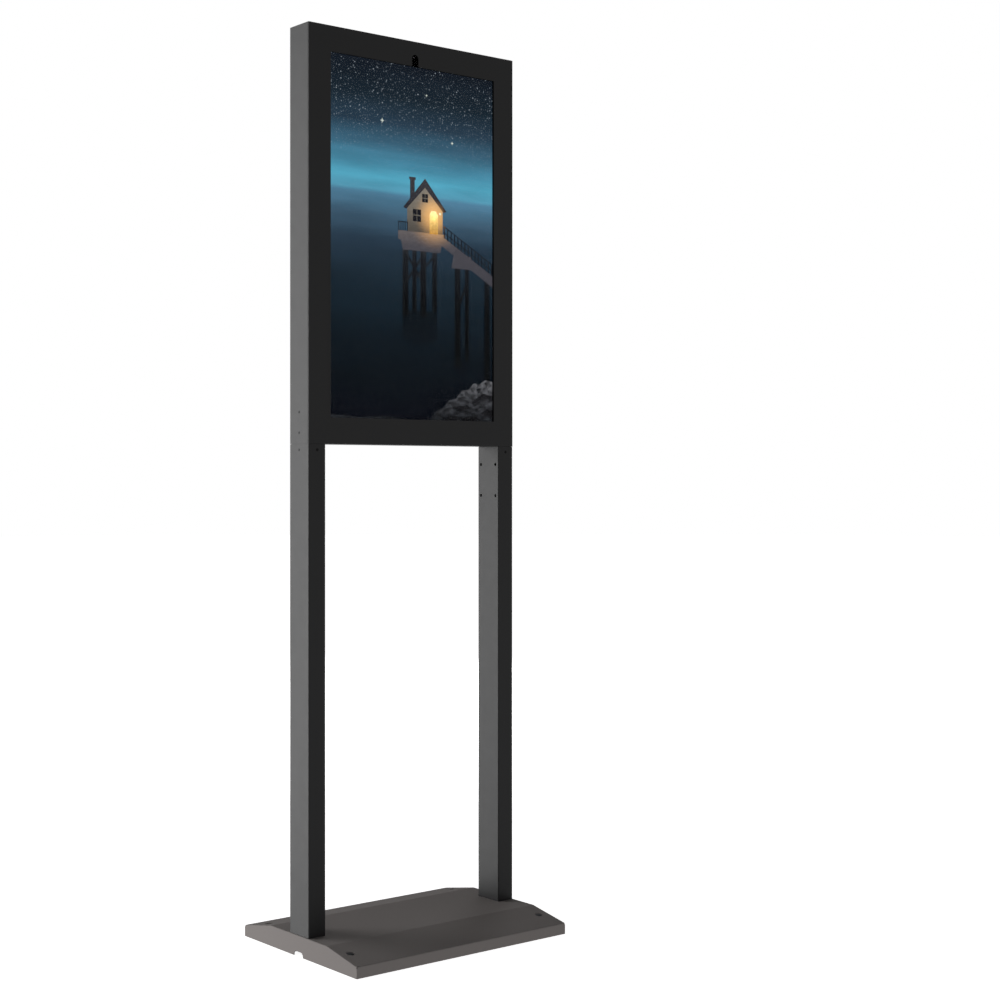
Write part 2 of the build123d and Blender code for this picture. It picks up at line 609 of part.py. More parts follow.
connector_widths = (16.0, 14.5, 14.5, 15.0, 9.0)
connectors, connector_x = [], main_board_x[0] + 25
for width in connector_widths:
    shell = block((connector_x, connector_x + width), (board_back, board_back + 8),
                  (main_board_z[1] - 16, main_board_z[1]))
    connectors.append(shell - block((connector_x + 1.2, connector_x + width - 1.2),
                                    (board_back + 1.2, board_back + 6.8),
                                    (main_board_z[1] - 11, main_board_z[1] + 1)))
    connector_x += width + 6
panel_plug_z = (main_board_z[0] + 50, main_board_z[0] + 70)
panel_plug_x = main_board_x[1] - 14
connectors.append(block((panel_plug_x, panel_plug_x + 8), (board_back, board_back + 5), panel_plug_z))
power_plug_x, speaker_plug_x = main_board_x[0] + 100, main_board_x[0] + 68
power_plug_low = main_board_z[0] + 2
for plug_x in (power_plug_x, speaker_plug_x):
    connectors.append(block((plug_x - 8, plug_x + 8), (board_back, board_back + 9),
                            (power_plug_low, power_plug_low + 12)))
save("board_connectors", *connectors)

supply_x, supply_z = (-60.0, -60.0 + supply_width), (plate_low + 30, plate_low + 30 + supply_height)
supply = block(supply_x, (plate_back, plate_back + supply_depth), supply_z)
supply = chamfer(supply.edges().group_by(Axis.Y)[-1], 1.0)
supply_grille = 7
for index in range(supply_grille):
    grille_x = supply_x[0] + 30 + index * 14
    supply -= block((grille_x, grille_x + 8), (plate_back + supply_depth - 1, plate_back + supply_depth + 1),
                    (supply_z[0] + 25, supply_z[1] - 25))
save("power_supply", supply)

speaker_low = bottom + speaker_rise
speaker_x = (rail_x - speaker_width / 2, rail_x + speaker_width / 2)
speaker = block(speaker_x, (rail_back, rail_back + speaker_depth), (speaker_low, speaker_low + speaker_height))
speaker = fillet(speaker.edges().filter_by(Axis.Y), 3)
speaker_face = rail_back + speaker_depth
speaker_middle = speaker_low + speaker_height * 0.6
speaker -= rod((rail_x, speaker_face, speaker_middle), -Y, 18, 3)
speaker += rod((rail_x, speaker_face - 3, speaker_middle), Y, 7, 1.8)
save("speaker_right", speaker)
save("speaker_left", mirrored(speaker))

# ---- Mains inlet and switch on their bracket ----------------------------------------------
bracket_y = (rail_back, rail_back + bracket_depth)
bracket_high = switch_z + switch_height / 2 + 8
foot_depth = rail_back + 18.0
bracket_low = bottom + sheet
bracket = plate_facing_x([(bracket_y[0], bracket_low), (foot_depth, bracket_low),
                          (foot_depth, inlet_z - inlet_height / 2 - 6),
                          (bracket_y[1], inlet_z - inlet_height / 2), (bracket_y[1], bracket_high),
                          (bracket_y[0], bracket_high)], bracket_x, sheet)
bracket += block((bracket_x - 20, bracket_x + sheet), (bracket_y[0], foot_depth),
                 (bracket_low, bracket_low + sheet))
opening_slack = 0.2
bracket -= block((bracket_x - 1, bracket_x + sheet + 1),
                 (inlet_y - inlet_width / 2 - opening_slack, inlet_y + inlet_width / 2 + opening_slack),
                 (inlet_z - inlet_height / 2 - opening_slack, inlet_z + inlet_height / 2 + opening_slack))
bracket -= block((bracket_x - 1, bracket_x + sheet + 1),
                 (inlet_y - switch_width / 2 - opening_slack, inlet_y + switch_width / 2 + opening_slack),
                 (switch_z - switch_height / 2 - opening_slack, switch_z + switch_height / 2 + opening_slack))
inlet_screw_z = [inlet_z - 20, inlet_z + 20]
for z in inlet_screw_z:
    bracket -= rod((bracket_x - 1, inlet_y, z), X, 1.55, sheet + 2)
bracket_screw_spots = [(bracket_x - 10, rail_back + y) for y in (4.0, 14.0)]
for x, y in bracket_screw_spots:
    bracket -= rod((x, y, bottom), Z, 1.55, 10)
    bottom_channel -= rod((x, y, bottom - 1), Z, 1.55, sheet + 2)
save("inlet_bracket", bracket)
save("frame_top", top_channel)
save("frame_bottom", bottom_channel)

inlet_face = bracket_x + sheet
flange_height, flange_width, flange_thickness = inlet_flange
inlet = block((inlet_face, inlet_face + flange_thickness),
              (inlet_y - flange_width / 2, inlet_y + flange_width / 2),
              (inlet_z - flange_height / 2, inlet_z + flange_height / 2))
inlet = fillet(inlet.edges().filter_by(Axis.X), 4)
inlet += block((inlet_face - inlet_depth, inlet_face), (inlet_y - inlet_width / 2, inlet_y + inlet_width / 2),
               (inlet_z - inlet_height / 2, inlet_z + inlet_height / 2))
socket_floor = inlet_face + flange_thickness - socket_depth
inlet -= block((socket_floor, inlet_face + flange_thickness + 1),
               (inlet_y - socket_width / 2, inlet_y + socket_width / 2),
               (inlet_z - socket_height / 2, inlet_z + socket_height / 2))
for y, z in ((-2.5, -7.0), (1.5, 0.0), (-2.5, 7.0)):
    inlet += block((socket_floor - 1, socket_floor + socket_depth - 3), (inlet_y + y - 2, inlet_y + y + 2),
                   (inlet_z + z - 1, inlet_z + z + 1))
for z in inlet_screw_z:
    inlet -= rod((inlet_face - 1, inlet_y, z), X, 1.6, flange_thickness + 2)
save("power_inlet", inlet)

switch_rim = 1.5
pivot_x = inlet_face + switch_rim - 1.0
housing = block((inlet_face, inlet_face + switch_rim), (inlet_y - switch_width / 2 - 1, inlet_y + switch_width / 2 + 1),
                (switch_z - switch_height / 2 - 1, switch_z + switch_height / 2 + 1))
housing += block((inlet_face - switch_depth, inlet_face), (inlet_y - switch_width / 2, inlet_y + switch_width / 2),
                 (switch_z - switch_height / 2, switch_z + switch_height / 2))
housing -= block((pivot_x - 9, inlet_face + switch_rim + 1), (inlet_y - 5, inlet_y + 5),
                 (switch_z - 8.5, switch_z + 8.5))
housing -= rod((pivot_x, inlet_y - 5.9, switch_z), Y, rocker_pin / 2 + pin_clearance, 11.8)
save("switch_housing", housing)
rocker_outline = [(-5.0, -2.0), (-7.6, 1.5), (-7.4, 3.2), (0.0, 2.0), (7.4, 3.2), (7.6, 1.5), (5.0, -2.0)]
rocker = plate_facing_y([(pivot_x + x, switch_z + z) for z, x in rocker_outline], inlet_y - 4.7, 9.4)
rocker += rod((pivot_x, inlet_y - 5.7, switch_z), Y, rocker_pin / 2, 11.4)
rocker = rocker.rotate(Axis((pivot_x, 0, switch_z), Y), -rocker_tilt)
save("switch_rocker", rocker)

# ---- Internal leads: bound to the metalwork from end to end --------------------------------
inlet_rear = inlet_face - inlet_depth
mains_y = rail_back + 14.0
mains_x = inlet_rear - 48
mains_lead = lead([(inlet_rear, mains_y, inlet_z), (inlet_rear - 26, mains_y, inlet_z),
                   (mains_x - 3, mains_y, inlet_z + 32), (mains_x, mains_y, inlet_z + 70),
                   (mains_x, mains_y, supply_z[0])], mains_lead_diameter)
save("mains_lead", mains_lead)

lead_y = board_back + 5.0
power_lead = lead([(supply_x[0] + 50, lead_y, supply_z[1]), (supply_x[0] + 50, lead_y, supply_z[1] + 40),
                   (power_plug_x, lead_y, power_plug_low - 50), (power_plug_x, lead_y, power_plug_low)],
                  board_lead_diameter)
low_y = rail_back + 3.6
exit_x, exit_z = speaker_x[0], speaker_low + speaker_height - 8
left_x, right_x = speaker_plug_x - 4, speaker_plug_x + 4
climb_z = power_plug_low - 45
left_lead = lead([(-exit_x, low_y, exit_z), (left_x - 5, low_y, exit_z), (left_x, low_y, exit_z + 25),
                  (left_x - 2, low_y, exit_z + 70), (left_x, low_y, climb_z - 60),
                  (left_x, low_y, climb_z), (left_x, lead_y, climb_z + 15),
                  (left_x, lead_y, power_plug_low)], speaker_lead_diameter)
right_lead = lead([(exit_x, low_y, exit_z), (exit_x - 45, low_y, exit_z), (0, low_y, exit_z + 18),
                   (right_x + 28, low_y, exit_z + 42), (right_x + 2, low_y, exit_z + 84),
                   (right_x, low_y, exit_z + 150), (right_x, low_y, climb_z),
                   (right_x, lead_y, climb_z + 15), (right_x, lead_y, power_plug_low)],
                  speaker_lead_diameter)
save("board_leads", power_lead, left_lead, right_lead)

ribbon_height = panel_plug_z[1] - panel_plug_z[0]
ribbon_path = [(panel_plug_x + 8, board_back + 3), (plate_x + 4, board_back + 3),
               (plate_x + 10, module_back + 0.6), (plate_x + 24, module_back + 0.6)]
ribbon = extruded(folded_section(ribbon_path, 0.8), (0, 0, panel_plug_z[0]), X, Z, ribbon_height)
save("panel_cable", ribbon)
tail_x = module_x + face_frame + 1.5
tail_path = [(touch_board_x[1], board_back), (plate_x + 3, board_back), (rail_x + rail_width / 2 + 20, module_back + 1.5),
             (tail_x, module_back + 1.5), (tail_x, face_y)]
tail = extruded(folded_section(tail_path, 0.4), (0, 0, touch_board_z[0] + 12), X, Z, 16)
save("touch_cable", tail)

# ---- Fasteners ----------------------------------------------------------------------------
frame_set = [screw(spot, inward) for spot, inward in frame_screws]
save("frame_screws", *frame_set, *[mirrored(piece) for piece in frame_set])
rail_set = []
for x, y in rail_spots:
    rail_set.append(pan_screw((x, y, bottom + 2 * sheet), -Z, 2 * sheet))
    rail_set.append(pan_screw((x, y, top - 2 * sheet), Z, 2 * sheet))
for side in (-1, 1):
    for x, z in panel_spots:
        rail_set.append(pan_screw((side * x, module_back + sheet, z), -Y, sheet + module_sheet))
    for x, z in plate_spots:
        rail_set.append(pan_screw((side * x, plate_back, z), -Y, 5.0))
for z in inlet_screw_z:
    rail_set.append(pan_screw((inlet_face + flange_thickness, inlet_y, z), -X, 6.0))
for x, y in bracket_screw_spots:
    rail_set.append(pan_screw((x, y, bottom + 2 * sheet), -Z, 2 * sheet))
save("inner_screws", *rail_set, *board_screws)

# ---- Rear door ----------------------------------------------------------------------------
door = block((-door_x, door_x), (inside_back - door_return, back), (door_low, door_high))
door = fillet(door.edges().group_by(Axis.Y)[-1], sheet + bend)
door -= block((-door_x + sheet, door_x - sheet), (inside_back - door_return - 1, inside_back),
              (door_low + sheet, door_high - sheet))
vent = SlotOverall(vent_length, vent_width, rotation=90)
for side in (-1, 1):
    for index in range(vent_count):
        x = side * (vent_first + index * vent_pitch)
        for z in (door_high - vent_drop - vent_length / 2, door_low + vent_rise + vent_length / 2):
            door -= extrude(Plane(origin=(x, back + 1, z), x_dir=X, z_dir=-Y) * vent, amount=sheet + 2,
                            dir=-Y)
    door -= rod((side * (door_x + 1), hinge_y, hinge_z), -side * X, pin_diameter / 2 + pin_clearance, sheet + 2)
door -= rod((0, back + 1, lock_z), -Y, barrel_diameter / 2 + 0.05, sheet + 2)
save("rear_door", door)

pin_start = door_x - sheet
pin_end = opening_x + sheet + 1.2
pin = rod((pin_start - 1.5, hinge_y, hinge_z), X, pin_head / 2, 1.5)
pin += rod((pin_start, hinge_y, hinge_z), X, pin_diameter / 2, pin_end - pin_start)
save("hinge_pins", pin, mirrored(pin))

# ---- Cam lock -----------------------------------------------------------------------------
barrel_rear = back - barrel_depth
head = rod((0, back, lock_z), Y, lock_head / 2, lock_head_height)
head = chamfer(head.edges().group_by(Axis.Y)[-1], 0.7)
lock_body = head + rod((0, barrel_rear, lock_z), Y, barrel_diameter / 2, barrel_depth)
lock_body -= rod((0, barrel_rear - 1, lock_z), Y, plug_diameter / 2 + plug_clearance,
                 barrel_depth + lock_head_height + 2)
save("lock_body", lock_body)
nut = Plane(origin=(0, inside_back, lock_z), z_dir=-Y) * extrude(
    RegularPolygon(nut_across / 2, 6, major_radius=False), amount=nut_thickness)
save("lock_nut", nut - rod((0, inside_back + 1, lock_z), -Y, barrel_diameter / 2 + 0.05, nut_thickness + 2))

plug = rod((0, cam_front, lock_z), Y, plug_diameter / 2, back + lock_head_height - 0.2 - cam_front)
plug += block((-cam_square / 2, cam_square / 2), (cam_back, cam_front),
              (lock_z - cam_square / 2, lock_z + cam_square / 2))
plug -= block((-0.75, 0.75), (back + lock_head_height - 5, back + lock_head_height), (lock_z - 3.6, lock_z + 3.6))
plug -= rod((0, cam_back, lock_z), Y, 2.05, 9)
save("lock_cylinder", plug)
square_slack = 0.05
cam = block((0, cam_length), (cam_back, cam_front), (lock_z - cam_width / 2, lock_z + cam_width / 2))
cam = fillet(cam.edges().filter_by(Axis.Y), 3) + rod((0, cam_back, lock_z), Y, 9.0, cam_thickness)
cam -= block((-cam_square / 2 - square_slack, cam_square / 2 + square_slack), (cam_back - 1, cam_front + 1),
             (lock_z - cam_square / 2 - square_slack, lock_z + cam_square / 2 + square_slack))
save("lock_cam", cam)
save("lock_screw", pan_screw((0, cam_back, lock_z), Y, 8.0, 4.0) - block((-3, 3), (cam_back - 3, cam_back - 1.6),
                                                                         (lock_z - 0.5, lock_z + 0.5)))
keeper_front = cam_front + moving_gap
keeper_x = (-keeper_width / 2, keeper_width / 2)
keeper_top = top - sheet
keeper = block(keeper_x, (keeper_front, keeper_front + keeper_thickness), (keeper_top - keeper_drop, keeper_top))
keeper += block(keeper_x, (keeper_front - 14, keeper_front + keeper_thickness),
                (keeper_top - keeper_thickness, keeper_top))
save("lock_keeper", keeper)
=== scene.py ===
import math
import random
import bmesh
import bpy
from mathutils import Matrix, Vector


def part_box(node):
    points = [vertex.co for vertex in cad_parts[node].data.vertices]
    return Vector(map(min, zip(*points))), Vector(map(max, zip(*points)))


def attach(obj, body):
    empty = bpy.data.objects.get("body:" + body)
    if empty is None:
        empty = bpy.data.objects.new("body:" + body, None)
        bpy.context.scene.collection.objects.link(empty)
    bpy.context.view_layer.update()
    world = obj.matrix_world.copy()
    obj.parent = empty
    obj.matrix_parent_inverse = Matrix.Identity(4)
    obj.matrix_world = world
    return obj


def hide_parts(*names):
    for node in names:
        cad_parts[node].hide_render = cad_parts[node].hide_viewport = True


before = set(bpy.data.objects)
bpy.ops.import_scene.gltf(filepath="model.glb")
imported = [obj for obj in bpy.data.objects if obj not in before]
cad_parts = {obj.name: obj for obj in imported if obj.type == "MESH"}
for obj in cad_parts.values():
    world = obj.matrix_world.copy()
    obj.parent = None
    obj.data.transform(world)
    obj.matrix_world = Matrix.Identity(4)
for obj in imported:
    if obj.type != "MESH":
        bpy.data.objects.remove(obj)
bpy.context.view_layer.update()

# ---- Camera -------------------------------------------------------------------------------
# Held level at about the height of the cabinet's foot, well ahead of the kiosk and to its left.
# The shift sets the horizon a little off the middle, so the uprights stay upright.
camera = bpy.data.objects.new("camera", bpy.data.cameras.new("camera"))
camera.location = (-2.01094, -2.75514, 0.88916)
camera.rotation_euler = (math.radians(90.0), 0.0, math.radians(-39.216))
camera.data.sensor_width = 36.0
camera.data.lens = 63.105
camera.data.shift_y = -0.02226
camera.data.clip_end = 60.0
bpy.context.collection.objects.link(camera)
bpy.context.scene.camera = camera
bpy.context.scene.view_settings.view_transform = "Standard"


# ---- Studio -------------------------------------------------------------------------------
# A wide pale floor that glows, a white surround that dims upwards, and two soft boxes behind the
# kiosk, a large one on its left and one on its right with a black flag that keeps its light off
# the base.
def node_material(name):
    """A new node material, with its tree and its Principled shader."""
    material = bpy.data.materials.new(name)
    material.use_nodes = True
    return material, material.node_tree, material.node_tree.nodes["Principled BSDF"]


def noise(tree, scale, detail=3.0, stretch=(1.0, 1.0, 1.0)):
    """Noise in the piece's own space; its scale is in lumps per metre."""
    place = tree.nodes.new("ShaderNodeTexCoord")
    mapping = tree.nodes.new("ShaderNodeMapping")
    mapping.inputs["Scale"].default_value = stretch
    texture = tree.nodes.new("ShaderNodeTexNoise")
    texture.inputs["Scale"].default_value = scale
    texture.inputs["Detail"].default_value = detail
    tree.links.new(place.outputs["Object"], mapping.inputs["Vector"])
    tree.links.new(mapping.outputs["Vector"], texture.inputs["Vector"])
    return texture.outputs["Fac"]


def ramp(tree, factor, *stops):
    """Colours at positions along a factor."""
    node = tree.nodes.new("ShaderNodeValToRGB")
    while len(node.color_ramp.elements) < len(stops):
        node.color_ramp.elements.new(0.5)
    for element, (position, colour) in zip(node.color_ramp.elements, stops):
        element.position = position
        element.color = (*colour, 1.0)
    tree.links.new(factor, node.inputs["Fac"])
    return node.outputs["Color"]


def spread(tree, factor, low, high):
    """A factor's middle range, spread from low to high."""
    node = tree.nodes.new("ShaderNodeMapRange")
    node.inputs["From Min"].default_value = 0.3
    node.inputs["From Max"].default_value = 0.7
    node.inputs["To Min"].default_value = low
    node.inputs["To Max"].default_value = high
    tree.links.new(factor, node.inputs["Value"])
    return node.outputs["Result"]


def relief(tree, shader, height, depth, strength=1.0):
    """Fine relief of a surface, depth in metres."""
    bump = tree.nodes.new("ShaderNodeBump")
    bump.inputs["Distance"].default_value = depth
    bump.inputs["Strength"].default_value = strength
    tree.links.new(height, bump.inputs["Height"])
    tree.links.new(bump.outputs["Normal"], shader.inputs["Normal"])


floor_mesh = bpy.data.meshes.new("studio_floor")
floor_form = bmesh.new()
bmesh.ops.create_circle(floor_form, cap_ends=True, segments=96, radius=24.0)
floor_form.to_mesh(floor_mesh)
floor_form.free()
studio_floor = bpy.data.objects.new("studio_floor", floor_mesh)
bpy.context.collection.objects.link(studio_floor)
floor_paint, tree, shader = node_material("floor_paint")
tree.links.new(ramp(tree, noise(tree, 1.5), (0.3, (0.84, 0.84, 0.84)), (0.7, (0.86, 0.86, 0.86))),
               shader.inputs["Base Color"])
shader.inputs["Roughness"].default_value = 0.85
shader.inputs["Specular IOR Level"].default_value = 0.1
shader.inputs["Emission Color"].default_value = (1.0, 1.0, 1.0, 1.0)
shader.inputs["Emission Strength"].default_value = 0.93
studio_floor.data.materials.append(floor_paint)
studio_floor.visible_diffuse = False
studio_floor.visible_glossy = False
studio_floor.visible_shadow = False


def soft_box(name, place, aim, width, height, power):
    """A rectangular soft light at a place, turned to a point."""
    light = bpy.data.objects.new(name, bpy.data.lights.new(name, "AREA"))
    light.data.shape = "RECTANGLE"
    light.data.size, light.data.size_y = width, height
    light.data.energy = power
    light.location = place
    light.visible_camera = False
    light.rotation_euler = (Vector(aim) - Vector(place)).to_track_quat("-Z", "Y").to_euler()
    bpy.context.collection.objects.link(light)


soft_box("left_soft_box", (-3.1, 3.4, 0.9), (0.0, 0.0, 0.9), 2.6, 4.4, 205.0)
soft_box("right_soft_box", (3.9, 3.1, 1.9), (0.0, 0.0, 1.3), 2.0, 2.6, 150.0)
flag_form = bmesh.new()
flag_corners = [(1.55, 0.45, 0.0), (0.45, 1.55, 0.0), (0.45, 1.55, 0.82), (1.55, 0.45, 0.82)]
flag_form.faces.new([flag_form.verts.new(corner) for corner in flag_corners])
flag_mesh = bpy.data.meshes.new("black_flag")
flag_form.to_mesh(flag_mesh)
flag_form.free()
black_flag = bpy.data.objects.new("black_flag", flag_mesh)
bpy.context.collection.objects.link(black_flag)
flag_cloth, tree, shader = node_material("flag_cloth")
tree.links.new(ramp(tree, noise(tree, 60.0), (0.3, (0.010, 0.010, 0.010)), (0.7, (0.014, 0.014, 0.014))),
               shader.inputs["Base Color"])
shader.inputs["Roughness"].default_value = 0.95
black_flag.data.materials.append(flag_cloth)
black_flag.visible_camera = False
black_flag.visible_diffuse = False
black_flag.visible_glossy = False

surround = bpy.data.worlds.new("surround")
surround.use_nodes = True
bpy.context.scene.world = surround
tree = surround.node_tree
sky = tree.nodes["Background"]
direction = tree.nodes.new("ShaderNodeTexCoord")
parts = tree.nodes.new("ShaderNodeSeparateXYZ")
fade = tree.nodes.new("ShaderNodeMapRange")
fade.inputs["From Min"].default_value = -0.2
fade.inputs["From Max"].default_value = 0.9
fade.inputs["To Min"].default_value = 0.66
fade.inputs["To Max"].default_value = 0.02
tree.links.new(direction.outputs["Generated"], parts.inputs["Vector"])
tree.links.new(parts.outputs["Z"], fade.inputs["Value"])
tree.links.new(fade.outputs["Result"], sky.inputs["Strength"])
sky.inputs["Color"].default_value = (1.0, 1.0, 1.0, 1.0)
seen = tree.nodes.new("ShaderNodeBackground")
seen.inputs["Color"].default_value = (1.0, 1.0, 1.0, 1.0)
rays = tree.nodes.new("ShaderNodeLightPath")
choice = tree.nodes.new("ShaderNodeMixShader")
tree.links.new(rays.outputs["Is Camera Ray"], choice.inputs["Fac"])
tree.links.new(sky.outputs["Background"], choice.inputs[1])
tree.links.new(seen.outputs["Background"], choice.inputs[2])
tree.links.new(choice.outputs["Shader"], tree.nodes["World Output"].inputs["Surface"])


# ---- Cabinet, legs and rear door ------------------------------------------------------------
# Folded steel sheet, powder coated dark grey after folding, with the fine orange peel of a
# satin coat. The frame's mitres and the leg seams stay as bare joint lines.
def powder_coat(name, tone, roughness, gloss):
    """Satin powder coat: a slow drift of tone, a fine peel, and patchy gloss."""
    material, tree, shader = node_material(name)
    darker = tuple(0.97 * part for part in tone)
    tree.links.new(ramp(tree, noise(tree, 4.0, 4.0), (0.35, darker), (0.65, tone)),
                   shader.inputs["Base Color"])
    tree.links.new(spread(tree, noise(tree, 55.0), roughness - 0.012, roughness + 0.012),
                   shader.inputs["Roughness"])
    shader.inputs["Specular IOR Level"].default_value = gloss
    relief(tree, shader, noise(tree, 1400.0, 2.0), 0.00002, 0.25)
    return material


def dress(material, *nodes):
    """Give CAD nodes their finish, with round faces shaded smooth."""
    for node in nodes:
        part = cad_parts[node]
        part.data.materials.clear()
        part.data.materials.append(material)
        part.data.shade_smooth()
        part.data.set_sharp_from_angle(angle=math.radians(28.0))


cabinet_coat = powder_coat("cabinet_coat", (0.016, 0.016, 0.0165), 0.46, 0.25)
dress(cabinet_coat, "front_bezel", "frame_left", "frame_right", "frame_top", "frame_bottom",
      "leg_left", "leg_right", "joiner_left", "joiner_right", "rear_door")

# ---- Base ---------------------------------------------------------------------------------
# A folded cover with closed ends in a warmer, lighter grey coat, over a thick ballast plate
# that rests on rubber pads. Steel sleeves line the corner holes.
base_coat = powder_coat("base_coat", (0.222, 0.204, 0.197), 0.72, 0.05)
dress(base_coat, "base_cover", "base_end_left", "base_end_right")


def plated_steel(name, tone, roughness, grain):
    """Rolled or plated steel, with a grain along the sheet."""
    material, tree, shader = node_material(name)
    shader.inputs["Metallic"].default_value = 1.0
    darker = tuple(0.8 * part for part in tone)
    tree.links.new(ramp(tree, noise(tree, grain, 5.0, (1.0, 1.0, 0.15)), (0.3, darker), (0.7, tone)),
                   shader.inputs["Base Color"])
    tree.links.new(spread(tree, noise(tree, grain * 3.0), roughness - 0.06, roughness + 0.1),
                   shader.inputs["Roughness"])
    relief(tree, shader, noise(tree, grain * 8.0, 2.0, (1.0, 1.0, 0.1)), 0.00002, 0.5)
    return material


oiled_plate = plated_steel("oiled_plate", (0.20, 0.20, 0.21), 0.5, 40.0)
dress(oiled_plate, "base_ballast", "leg_feet", "leg_plates")
zinc_plate = plated_steel("zinc_plate", (0.30, 0.31, 0.325), 0.46, 60.0)
dress(zinc_plate, "anchor_sleeves", "ballast_spacers", "ballast_bolts", "leg_bolts",
      "panel_rail_left", "panel_rail_right", "electronics_plate", "inlet_bracket",
      "inner_screws", "board_standoffs")
rolled_sheet = plated_steel("rolled_sheet", (0.38, 0.385, 0.39), 0.58, 30.0)
dress(rolled_sheet, "lcd_front_frame", "backlight_tray")

pad_rubber, tree, shader = node_material("pad_rubber")
tree.links.new(ramp(tree, noise(tree, 300.0), (0.3, (0.012, 0.012, 0.012)), (0.7, (0.03, 0.03, 0.03))),
               shader.inputs["Base Color"])
shader.inputs["Roughness"].default_value = 0.8
relief(tree, shader, noise(tree, 900.0), 0.0001)
dress(pad_rubber, "base_pads", "cable_grommets")

# ---- Frame screws ---------------------------------------------------------------------------
# Blackened countersunk socket screws, flush with the coat, down both sides and across the rear.
# Their oiled oxide is dull; the near-black colour, far darker than the coat, is partly painted socket shade.
blackened_steel_and_socket_shade, tree, shader = node_material("blackened_steel_and_socket_shade")
# near-black tones: the oxide's own dark, deepened as painted shade of the hex sockets
tree.links.new(ramp(tree, noise(tree, 800.0), (0.3, (0.003, 0.003, 0.003)), (0.7, (0.007, 0.007, 0.0075))),
               shader.inputs["Base Color"])
shader.inputs["Specular IOR Level"].default_value = 0.12
shader.inputs["Roughness"].default_value = 0.45
dress(blackened_steel_and_socket_shade, "frame_screws")

# ---- Front glass ----------------------------------------------------------------------------
# One pane of toughened anti-glare glass, black ceramic print round its border, a foam tape behind
# that, and a clear touch film laminated behind the window. The print leaves a notch for the sensor.
pane_glass, tree, shader = node_material("pane_glass")
shader.inputs["Transmission Weight"].default_value = 1.0
shader.inputs["IOR"].default_value = 1.12
shader.inputs["Base Color"].default_value = (0.97, 0.985, 0.98, 1.0)
tree.links.new(spread(tree, noise(tree, 30.0), 0.0, 0.02), shader.inputs["Roughness"])
dress(pane_glass, "front_glass")
film_clear, tree, shader = node_material("film_clear")
shader.inputs["Base Color"].default_value = (0.02, 0.025, 0.03, 1.0)
shader.inputs["Specular IOR Level"].default_value = 0.0
shader.inputs["Alpha"].default_value = 0.04
tree.links.new(spread(tree, noise(tree, 60.0), 0.25, 0.35), shader.inputs["Roughness"])
dress(film_clear, "touch_film")


def plain_finish(name, dark, tone, roughness, gloss, lumps, depth):
    """A dull or moulded surface: two close tones, patchy gloss and a little relief."""
    material, tree, shader = node_material(name)
    tree.links.new(ramp(tree, noise(tree, lumps), (0.3, dark), (0.7, tone)), shader.inputs["Base Color"])
    tree.links.new(spread(tree, noise(tree, lumps * 1.7), roughness - 0.04, roughness + 0.06),
                   shader.inputs["Roughness"])
    shader.inputs["Specular IOR Level"].default_value = gloss
    relief(tree, shader, noise(tree, lumps * 4.0, 2.0), depth)
    return material


border_print = plain_finish("border_print", (0.002, 0.002, 0.002), (0.004, 0.004, 0.004), 0.4, 0.2,
                            200.0, 0.00001)
dress(border_print, "glass_border")
foam = plain_finish("foam", (0.010, 0.010, 0.010), (0.020, 0.020, 0.021), 0.9, 0.1, 1500.0, 0.0001)
dress(foam, "glass_tape")

# ---- Light sensor ---------------------------------------------------------------------------
# A small black moulding behind the arched notch, with a round domed window that reads the room.
black_moulding = plain_finish("black_moulding", (0.009, 0.009, 0.009), (0.016, 0.016, 0.017), 0.42, 0.4,
                              260.0, 0.00003)
dress(black_moulding, "light_sensor", "switch_housing", "power_inlet", "speaker_left", "speaker_right")


def piece(name, form, material, body="root", smooth=True):
    """A finished piece from a mesh form, in one material, riding on a body."""
    mesh = bpy.data.meshes.new(name)
    bmesh.ops.remove_doubles(form, verts=form.verts[:], dist=1e-7)
    bmesh.ops.recalc_face_normals(form, faces=form.faces[:])
    form.to_mesh(mesh)
    form.free()
    made = bpy.data.objects.new(name, mesh)
    bpy.context.collection.objects.link(made)
    mesh.materials.append(material)
    if smooth:
        mesh.shade_smooth()
        mesh.set_sharp_from_angle(angle=math.radians(32.0))
    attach(made, body)
    return made


def turned(form, centre, axis, profile, steps=32):
    """A turned shape about an axis through a centre; the profile is (radius, height) pairs."""
    turn = Vector((0.0, 0.0, 1.0)).rotation_difference(Vector(axis)).to_matrix()
    rings = []
    for radius, height in profile:
        around = [Vector((radius * math.cos(step * math.tau / steps),
                          radius * math.sin(step * math.tau / steps), height)) for step in range(steps)]
        rings.append([form.verts.new(Vector(centre) + turn @ point) for point in around])
    for low, high in zip(rings, rings[1:]):
        for step in range(steps):
            after = (step + 1) % steps
            form.faces.new((low[step], low[after], high[after], high[step]))
    form.faces.new(rings[0][::-1])
    form.faces.new(rings[-1])


def corners(node):
    """A node's lowest and highest corners, to the micrometre."""
    return [[round(value, 6) for value in corner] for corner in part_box(node)]


sensor_low = corners("light_sensor")[0]
window_rise = 0.0022
sensor_window = bmesh.new()
turned(sensor_window, (0.0, sensor_low[1], sensor_low[2] + window_rise), (0.0, -1.0, 0.0),
       [(0.0021, -0.0002), (0.0021, 0.00002), (0.0016, 0.00012), (0.0006, 0.00017)], 24)
smoked = plain_finish("smoked_window", (0.010, 0.004, 0.010), (0.020, 0.008, 0.018), 0.15, 0.5, 400.0,
                      0.00001)
piece("sensor_window", sensor_window, smoked)

